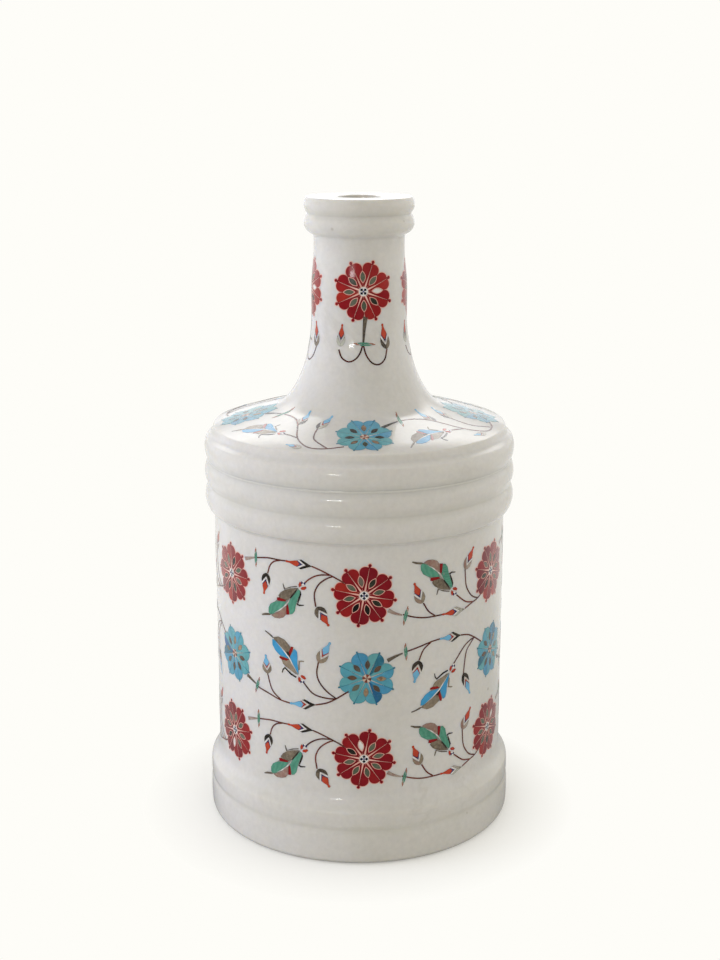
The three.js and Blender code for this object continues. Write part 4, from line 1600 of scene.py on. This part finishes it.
def vine(tray, spot, drawing, flip=1):
    """A whole vine: stalk, tie, stems, buds and leaf."""
    tone = STALK_TONES.get(spot.repeat, STALK_TONES[drawing.row])
    tray.lay("slate", spot, ribbon(drawing.stalk, VINE_STALK), tone)
    tie(tray, spot, *drawing.tie)
    for i, points in enumerate(drawing.stems):
        tone = tray.random.uniform(*STEM_TONES)
        tray.lay("brown jasper", spot, ribbon(points, [tray.stem] * 2), tone, -i % 2)
    buds(tray, spot, drawing)
    leaf(tray, spot, drawing.row, *drawing.leaf, flip)


# Below each neck flower: a stalk, a tie and two curling stems with a bud each, in millimetres from
# the flower's middle
NECK_SPRAY = Vine(
    "red",
    [(1, -11.6), (0.4, -17), (-0.1, -24)],
    [(-4, -24.2), (5, -24.4)],
    [
        [(-0.2, -23.8), (-1.4, -28), (-3.4, -31), (-6.4, -32.4), (-9.6, -30.6), (-11.2, -27)],
        [(-0.2, -24), (1, -29), (3.4, -32.8), (6.4, -33.8), (9.4, -31.6), (11, -27)],
    ],
    [
        [(-10.7, -25.6), (-9.9, -15.2), 2.1, (1, 1)],
        [(10.9, -27), (9.1, -15.2), 2.4, (0.22, 0.4)],
    ],
    None,
)


def neck_spray(tray, spot):
    """The spray under a neck flower."""
    tray.lay("slate", spot, ribbon(NECK_SPRAY.stalk, NECK_STALK), STALK_TONES["neck"])
    tie(tray, spot, *NECK_SPRAY.tie)
    for i, points in enumerate(NECK_SPRAY.stems):
        tray.lay("brown jasper", spot, ribbon(points, [tray.stem] * 2), NECK_STEM_TONE, -i)
    buds(tray, spot, NECK_SPRAY)


# Laying the whole pattern


WALL_FLOWERS = 6
# How often the marble repeats what is laid once, by the repeat that a spot names
REPEATS = {"wall": 3, "neck": 4, "once": 1, "shoulder": 1}

# How far each flower is turned, from the front one to the right and on round
TURNS = {
    "upper": (34.5, 28, 12, 40, 20, 2),
    "middle": (19.5, 27, 5, 36, 24, 18),
    "lower": (34.5, 25, 40, 8, 30, 14),
    "neck": (25,),
    "shoulder": (22.5, 30, 12, 18),
}
# Rows of the wall: name, kind of flower, and which of their vines rises
ROWS = [("upper", "red", 0), ("middle", "blue", 1), ("lower", "red", 0)]


# How far a petal's shade may be from the front flower's
SHADE_CHANGE = 0.3


def shades_of(tray, row, i):
    """A row's front shades for its first flower, and ones changed at random for the others."""
    petals, gems = FRONT_SHADES[row]
    if i == 0:
        return petals, gems
    changes = [tray.random.uniform(-SHADE_CHANGE, SHADE_CHANGE) for _ in petals]
    petals = [min(1, max(0, tone + change)) for tone, change in zip(petals, changes)]
    tray.random.shuffle(petals)
    gems = list(gems)
    tray.random.shuffle(gems)
    return petals, gems


def moved(x, y, rising=False):
    """A place on a flat field for a drawing, mirrored top to bottom where its vine rises."""
    side = -1 if rising else 1
    return lambda u, v: (x + u, y + side * v)


def lay_flowers(tray, t, sizes):
    """Every flower of the wall, the shoulder and the neck."""
    wall, neck, shoulder = WallField(t), NeckField(t), ShoulderField(t)
    for row, kind, _ in ROWS:
        azimuth, _, height = node_place(f"{row}_flower_1")
        radius = mm(sizes.red_flower if kind == "red" else sizes.blue_flower)
        for i, turn in enumerate(TURNS[row]):
            x = (azimuth + i * math.tau / WALL_FLOWERS) * wall.radius
            spot = Spot("once", wall, moved(x, height))
            flower(tray, spot, kind, radius, math.radians(turn), shades_of(tray, row, i))
    azimuth, _, height = node_place("neck_flower_1")
    spot = Spot("neck", neck, moved(azimuth * neck.radius, height))
    turn, radius = math.radians(TURNS["neck"][0]), mm(sizes.neck_flower)
    flower(tray, spot, "red", radius, turn, shades_of(tray, "neck", 0))
    radius = mm(sizes.shoulder_flower)
    for i, turn in enumerate(TURNS["shoulder"]):
        azimuth, reach, _ = node_place(f"shoulder_flower_{i + 1}")
        spot = Spot("shoulder", shoulder, on_shoulder(azimuth, reach))
        flower(tray, spot, "blue", radius, math.radians(turn), shades_of(tray, "shoulder", i))


def on_shoulder(azimuth, reach):
    """A place on the shoulder for a drawing square to a radius, drawn out up the slope."""
    reach += SHOULDER_OUT

    def place(u, v):
        return turned(u, -(reach - v * (SHOULDER_UP if v > 0 else SHOULDER_DOWN)), azimuth)

    return place


def lay_vines(tray, t):
    """Every vine of the wall and the shoulder, and the neck's sprays."""
    wall, neck, shoulder = WallField(t), NeckField(t), ShoulderField(t)
    for row, kind, level in ROWS:
        azimuth, _, height = node_place(f"{row}_flower_1")
        for i in range(WALL_FLOWERS // REPEATS["wall"]):
            x = (azimuth + i * math.tau / WALL_FLOWERS) * wall.radius
            rising = (i + level) % 2 == 1
            drawing = VINES[f"{kind} {'rising' if rising else 'hanging'}"]
            vine(tray, Spot("wall", wall, moved(x, height, rising)), drawing)
    azimuth, _, height = node_place("neck_flower_1")
    neck_spray(tray, Spot("neck", neck, moved(azimuth * neck.radius, height)))
    places = [math.degrees(node_place(f"shoulder_flower_{i + 1}")[0]) % 360 for i in range(4)]
    for i, azimuth in enumerate(places):
        span = (azimuth - places[i - 1]) % 360

        def plan(point):
            angle = math.radians(azimuth + point[0] * span / SHOULDER_SPAN)
            return point[1] * math.sin(angle), -point[1] * math.cos(angle)

        drawing = SHOULDER_VINE._replace(
            stalk=[plan(p) for p in SHOULDER_VINE.stalk],
            tie=[plan(p) for p in SHOULDER_VINE.tie],
            stems=[[plan(p) for p in points] for points in SHOULDER_VINE.stems],
            buds=[[plan(b), plan(e), w, c] for b, e, w, c in SHOULDER_VINE.buds],
            leaf=[plan(p) for p in SHOULDER_VINE.leaf],
        )
        vine(tray, Spot("shoulder", shoulder, lambda u, v: (u, v)), drawing, -1)


def node_names(starts):
    """Construction nodes whose names start in one of the given ways."""
    return sorted(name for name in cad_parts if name.startswith(starts))


# Pieces made of the laid chips, by stone: name, the nodes that it stands for, its slot, and how
# much the shades of its repeated chips change
INLAY_PIECES = {
    "carnelian": (
        "carnelian_petals", ("upper_flower", "lower_flower", "neck_flower"), "carnelian", 0.5
    ),
    "turquoise": ("turquoise_petals", ("middle_flower", "shoulder_flower"), "turquoise", 0.6),
    "malachite": ("malachite_lobes_and_ties", ("upper_leaf", "lower_leaf"), "malachite", 0.3),
    "sky stone": ("sky_stone_lobes_and_tips", ("middle_leaf", "shoulder_leaf"), "sky_stone", 0.2),
    "rose quartz": ("rose_quartz_midribs", (), None, 0.5),
    "lozenge stones": ("lozenges", (), None, 0.4),
    "mother of pearl": ("mother_of_pearl_chips", (), None, 0.3),
    "lapis": ("lapis_chips", (), None, 0.1),
    "orange jasper": ("orange_jasper_tips_and_berries", (), None, 0.2),
    "slate": ("slate_cups_and_lobes", (), None, 0.2),
    "brown jasper": ("brown_jasper_stems", (), None, 0.4),
    "cement": ("cement_beds", (), None, 0.0),
}
COPY_SEED = 3
CHIP_CREASE = math.radians(40)
MARBLE_CREASE = math.radians(32)

trays = {}


def current_tray(context):
    """The tray that the laying operators share."""
    if "open" not in trays:
        trays["open"] = Tray(context.scene.vase_inlay)
    return trays["open"]


# How widely painted shade spreads from a groove, how far a moulding is from the wall or the seam
# before it wanders in full, and how far outside the hollow and the mouth the marble counts as
# outside
PAINTED_SHADE_SPREAD = 2.4
WALL_EASE = 6
SEAM_EASE = 5
OUTSIDE_HOLLOW = 8
OUTSIDE_MOUTH = 2
QUIRK_MIDDLE = 0.8
SEAM_SEED = 0


def outline_mesh(points, t):
    """An outline as a chain of points that know how far they wander and how much painted shade they
    take near the grooves.
    """
    levels, crests = shoulder_levels(t), ring_crests(t)
    half = mm(t.ring_pitch) / 2
    seam = crests[-1] - half
    rim = levels["rim"] + RIM_UNDERSIDE + mm(t.bead_pitch) / 2
    # Painted shade is darkest at these heights: the plinth's groove, the quirk above the foot bead,
    # the groove between the lower rings, the seam and the groove between the rim's beads
    grooves = [PLINTH_TOP, FOOT_BEAD_TOP + QUIRK_MIDDLE, crests[0] + half, seam, rim]
    hollow, mouth = mm(t.cavity_radius) + OUTSIDE_HOLLOW, mm(t.mouth_radius) + OUTSIDE_MOUTH
    free, painted_shade = [], []
    for r, z in points:
        away = max(WALL_BOTTOM - z, z - WALL_TOP, 0)
        wanders = r > hollow and z < levels["cove top"]
        free.append(min(1, away / WALL_EASE, abs(z - seam) / SEAM_EASE) if wanders else 0)
        depth = max(math.exp(-(((z - groove) / PAINTED_SHADE_SPREAD) ** 2)) for groove in grooves)
        painted_shade.append(depth if r > mouth else 0)
    mesh = bpy.data.meshes.new("outline")
    sides = [(i, i + 1) for i in range(len(points) - 1)]
    mesh.from_pydata([(r * MM, 0, z * MM) for r, z in points], sides, [])
    mesh.attributes.new("free", "FLOAT", "POINT").data.foreach_set("value", free)
    mesh.attributes.new("groove", "FLOAT", "POINT").data.foreach_set("value", painted_shade)
    return mesh


class VASE_OT_turn_marble(bpy.types.Operator):
    """Turn the drum and the shoulder piece of white marble"""

    bl_idname = "vase.turn_marble"
    bl_label = "Turn the Marble"

    def execute(self, context):
        t, colours = context.scene.vase_turning, context.scene.vase_colours
        tree = turned_body_tree()
        marble = marble_material(colours)
        settings = {"Segments": t.segments, "Seed": SEAM_SEED}
        settings["Stone"] = marble_material(colours, "marble dust", 0)
        seam = worked(tree, outline_mesh(seam_outline(t), t), settings)
        finished_piece("seam_filling", [seam], MARBLE_CREASE, [])
        bodies = {"drum": drum_outline, "shoulder_neck": shoulder_outline}
        for seed, (name, draw) in enumerate(bodies.items()):
            settings |= {"Wander": t.wander, "Seed": seed, "Stone": marble}
            body = worked(tree, outline_mesh(draw(t), t), settings)
            finished_piece(f"marble_{name}", [body], MARBLE_CREASE, [name])
        return {"FINISHED"}


class VASE_OT_lay_flowers(bpy.types.Operator):
    """Cut and lay the flowers of the wall, the shoulder and the neck"""

    bl_idname = "vase.lay_flowers"
    bl_label = "Lay the Flowers"

    def execute(self, context):
        lay_flowers(current_tray(context), context.scene.vase_turning, context.scene.vase_inlay)
        return {"FINISHED"}


class VASE_OT_lay_vines(bpy.types.Operator):
    """Cut and lay the vines with their buds, leaves and ties"""

    bl_idname = "vase.lay_vines"
    bl_label = "Lay the Vines"

    def execute(self, context):
        lay_vines(current_tray(context), context.scene.vase_turning)
        return {"FINISHED"}


class VASE_OT_set_stones(bpy.types.Operator):
    """Repeat the laid chips round the vase and finish them as one piece for each stone"""

    bl_idname = "vase.set_stones"
    bl_label = "Set the Stones"

    def execute(self, context):
        tray = current_tray(context)
        materials = stones(context.scene.vase_colours)
        tree = round_the_axis_tree()
        for stone, (name, replaced, slot, change) in INLAY_PIECES.items():
            meshes = []
            for key in [k for k in tray.batches if k[0] == stone]:
                settings = {"Count": REPEATS[key[1]], "Spread": change, "Seed": COPY_SEED}
                settings["Stone"] = materials[stone]
                meshes.append(worked(tree, tray.mesh(key), settings))
            finished_piece(name, meshes, CHIP_CREASE, node_names(replaced))
        trays.clear()
        return {"FINISHED"}


# Studio


FLOOR_SIZE = 6.0
# Distances from the axis between which the floor's shade fades into the background
CATCH_START = 0.07
CATCH_END = 0.11
# Glows that only reflections show. Each range has where a glow starts and is full, and the
# strengths there where these aren't 0 and 1. On the floor the places are in metres
FLOOR_BEHIND = (-0.1, 0.25, 0.1, 0.85)
FLOOR_LEFT = (-0.12, -0.35)
FLOOR_LEFT_NEAR = (-0.12, 0.08)
FLOOR_LEFT_FAR = (0.25, 0.5, 1, 0)
# In the room they are shares of a direction: +X to the right, +Y to the back, +Z up
ROOM_BEHIND = (-0.7, 0.6, 0.12, 1.1)
WINDOW_BOTTOM = (0.28, 0.55)
WINDOW_TOP = (0.68, 0.82, 1, 0)
WINDOW_RIGHT = (0.04, 0.13)
WINDOW_LEFT = (-0.1, -0.2)
WINDOW_BACK = (0.45, 0.74)
ROOM_LEFT = (-0.5, -0.75)
ROOM_LEFT_BACK = (-0.05, 0.15)
ROOM_LEFT_TOP = (0, 0.35, 1, 0)
SKIRTING_BACK = (0.94, 0.99)
SKIRTING_BOTTOM = (0.02, 0.1)
LEFT_GLOW = 0.15
WINDOW_GLOW = 2.5
SKIRTING_GLOW = 0.6


def seen_rays(tree):
    """Light paths, and whether the camera sees what they meet, straight or through something."""
    rays = add(tree, "ShaderNodeLightPath").outputs
    return rays, maths(tree, "MAXIMUM", rays["Is Camera Ray"], rays["Is Transmission Ray"])


def floor_material(s):
    """A pale floor that keeps the vase's soft shadow and fades into the background."""
    material, tree, surface = new_material("studio floor")
    tree.nodes.remove(surface)
    rays, seen = seen_rays(tree)
    place = add(tree, "ShaderNodeTexCoord").outputs["Object"]
    distance = add(tree, "ShaderNodeVectorMath", {0: place}, operation="LENGTH").outputs["Value"]
    far = maths(tree, "POWER", spread(tree, distance, CATCH_START, CATCH_END), 0.5)
    mottle = spread(tree, noise(tree, place, 3, detail=2), 0, 1, 0.995, 1.0)
    shade = dimmed(tree, mixed(tree, seen, rgba(s.floor), rgba(s.backdrop)), mottle)
    matte = add(tree, "ShaderNodeBsdfDiffuse", {"Color": shade}).outputs[0]

    x, y, _ = add(tree, "ShaderNodeSeparateXYZ", {0: place}).outputs
    left = product(tree, spread(tree, x, *FLOOR_LEFT), spread(tree, y, *FLOOR_LEFT_NEAR))
    left = product(tree, left, spread(tree, y, *FLOOR_LEFT_FAR))
    behind = maths(tree, "MULTIPLY_ADD", left, LEFT_GLOW, spread(tree, y, *FLOOR_BEHIND))
    mirrored_ray = rays["Is Glossy Ray"]
    strength = maths(tree, "MAXIMUM", seen, product(tree, mirrored_ray, behind))
    inputs = {"Color": rgba(s.backdrop), "Strength": strength}
    glow = add(tree, "ShaderNodeEmission", inputs).outputs[0]
    glowing = maths(tree, "MAXIMUM", product(tree, far, seen), mirrored_ray)
    mix = add(tree, "ShaderNodeMixShader", {0: glowing, 1: matte, 2: glow}).outputs[0]
    tree.links.new(mix, tree.nodes["Material Output"].inputs["Surface"])
    return material


def room_light(s):
    """Even room light, what reflections show of the room, and the backdrop for the camera."""
    world = bpy.data.worlds.new("studio")
    bpy.context.scene.world = world
    world.use_nodes = True
    tree = world.node_tree
    rays, seen = seen_rays(tree)
    toward = add(tree, "ShaderNodeTexCoord").outputs["Generated"]
    x, y, z = add(tree, "ShaderNodeSeparateXYZ", {0: toward}).outputs
    sides = maths(tree, "MAXIMUM", spread(tree, x, *WINDOW_RIGHT), spread(tree, x, *WINDOW_LEFT))
    window = product(tree, spread(tree, z, *WINDOW_BOTTOM), spread(tree, z, *WINDOW_TOP))
    window = product(tree, window, product(tree, sides, spread(tree, y, *WINDOW_BACK)))
    left = product(tree, spread(tree, x, *ROOM_LEFT), spread(tree, y, *ROOM_LEFT_BACK))
    left = product(tree, left, spread(tree, z, *ROOM_LEFT_TOP))
    skirting = product(tree, spread(tree, y, *SKIRTING_BACK), spread(tree, z, *SKIRTING_BOTTOM))
    glow = spread(tree, y, *ROOM_BEHIND)
    glows = ((window, WINDOW_GLOW), (left, LEFT_GLOW), (skirting, SKIRTING_GLOW))
    for share, strength in glows:
        glow = maths(tree, "MULTIPLY_ADD", share, strength, glow)
    light = tuple(share * s.room_light for share in s.room)
    lit = mixed(tree, rays["Is Glossy Ray"], rgba(light), grey(tree, glow))
    shown = mixed(tree, seen, lit, rgba(s.backdrop))
    tree.links.new(shown, tree.nodes["Background"].inputs["Color"])


# Lamps in the order of their making: place, width and height in metres. Reflections show the last
LAMPS = {
    "key": ((-0.97, -0.1, 0.25), 0.5, 1.0),
    "fill": ((1.0, 0.0, 0.22), 0.6, 1.0),
    "front": ((0.25, -1.6, 0.2), 1.2, 1.0),
    "glint": ((-0.43, -1.41, 0.41), 0.26, 0.05),
}
LAMP_AIM = (0, 0, 0.13)
SENSOR_WIDTH = 36
# The photograph's height, and how far its middle lies beside the vase, in its pixels
PHOTO_HEIGHT = 960
PHOTO_SHIFT = 0.8


def area_lamp(name, watts, spot, width, height):
    """A soft rectangular lamp aimed at the vase."""
    lamp = bpy.data.lights.new(name, "AREA")
    lamp.shape = "RECTANGLE"
    lamp.energy, lamp.size, lamp.size_y = watts, width, height
    holder = bpy.data.objects.new(name, lamp)
    holder.location = spot
    holder.rotation_euler = (Vector(LAMP_AIM) - Vector(spot)).to_track_quat("-Z", "Y").to_euler()
    bpy.context.scene.collection.objects.link(holder)
    return holder


class VASE_OT_set_studio(bpy.types.Operator):
    """Set up the floor, the lamps and the camera"""

    bl_idname = "vase.set_studio"
    bl_label = "Set the Studio"

    def execute(self, context):
        s = context.scene.vase_studio
        mesh = bpy.data.meshes.new("floor")
        half = FLOOR_SIZE / 2
        corners = [(-half, -half, 0), (half, -half, 0), (half, half, 0), (-half, half, 0)]
        mesh.from_pydata(corners, [], [(0, 1, 2, 3)])
        mesh.materials.append(floor_material(s))
        floor = bpy.data.objects.new("studio_floor", mesh)
        context.scene.collection.objects.link(floor)
        room_light(s)
        for name, place in LAMPS.items():
            lamp = area_lamp(f"{name}_lamp", getattr(s, f"{name}_power"), *place)
            lamp.visible_glossy = name == "glint"
            if name == "key":
                lamp.data.color = s.key
        eye = bpy.data.cameras.new("photo_view")
        eye.lens = s.focal_length
        eye.sensor_width = SENSOR_WIDTH
        eye.shift_x = PHOTO_SHIFT / PHOTO_HEIGHT
        camera = bpy.data.objects.new("photo_view", eye)
        camera.location = (0, -s.eye_distance, s.eye_height)
        camera.rotation_euler = (math.pi / 2 - s.eye_pitch, 0, 0)
        context.scene.collection.objects.link(camera)
        context.scene.camera = camera
        context.scene.view_settings.view_transform = "Standard"
        return {"FINISHED"}


STEPS = (
    VASE_OT_turn_marble,
    VASE_OT_lay_flowers,
    VASE_OT_lay_vines,
    VASE_OT_set_stones,
    VASE_OT_set_studio,
)


class VASE_PT_workshop(bpy.types.Panel):
    """Steps of making the vase"""

    bl_idname = "VASE_PT_workshop"
    bl_label = "Inlaid Marble Vase"
    bl_space_type = "VIEW_3D"
    bl_region_type = "UI"
    bl_category = "Vase"

    def draw(self, context):
        for step in STEPS:
            self.layout.operator(step.bl_idname)


GROUPS = {
    "vase_turning": TurningSizes,
    "vase_inlay": InlaySizes,
    "vase_colours": StoneColours,
    "vase_studio": StudioSettings,
}


def register():
    for group in GROUPS.values():
        bpy.utils.register_class(group)
    for name, group in GROUPS.items():
        setattr(bpy.types.Scene, name, PointerProperty(type=group))
    for cls in (*STEPS, VASE_PT_workshop):
        bpy.utils.register_class(cls)


def unregister():
    for cls in reversed((*STEPS, VASE_PT_workshop)):
        bpy.utils.unregister_class(cls)
    for name in GROUPS:
        delattr(bpy.types.Scene, name)
    for group in reversed(list(GROUPS.values())):
        bpy.utils.unregister_class(group)


def main():
    register()
    bpy.ops.vase.turn_marble()
    bpy.ops.vase.lay_flowers()
    bpy.ops.vase.lay_vines()
    bpy.ops.vase.set_stones()
    bpy.ops.vase.set_studio()


if __name__ == "__main__":
    main()
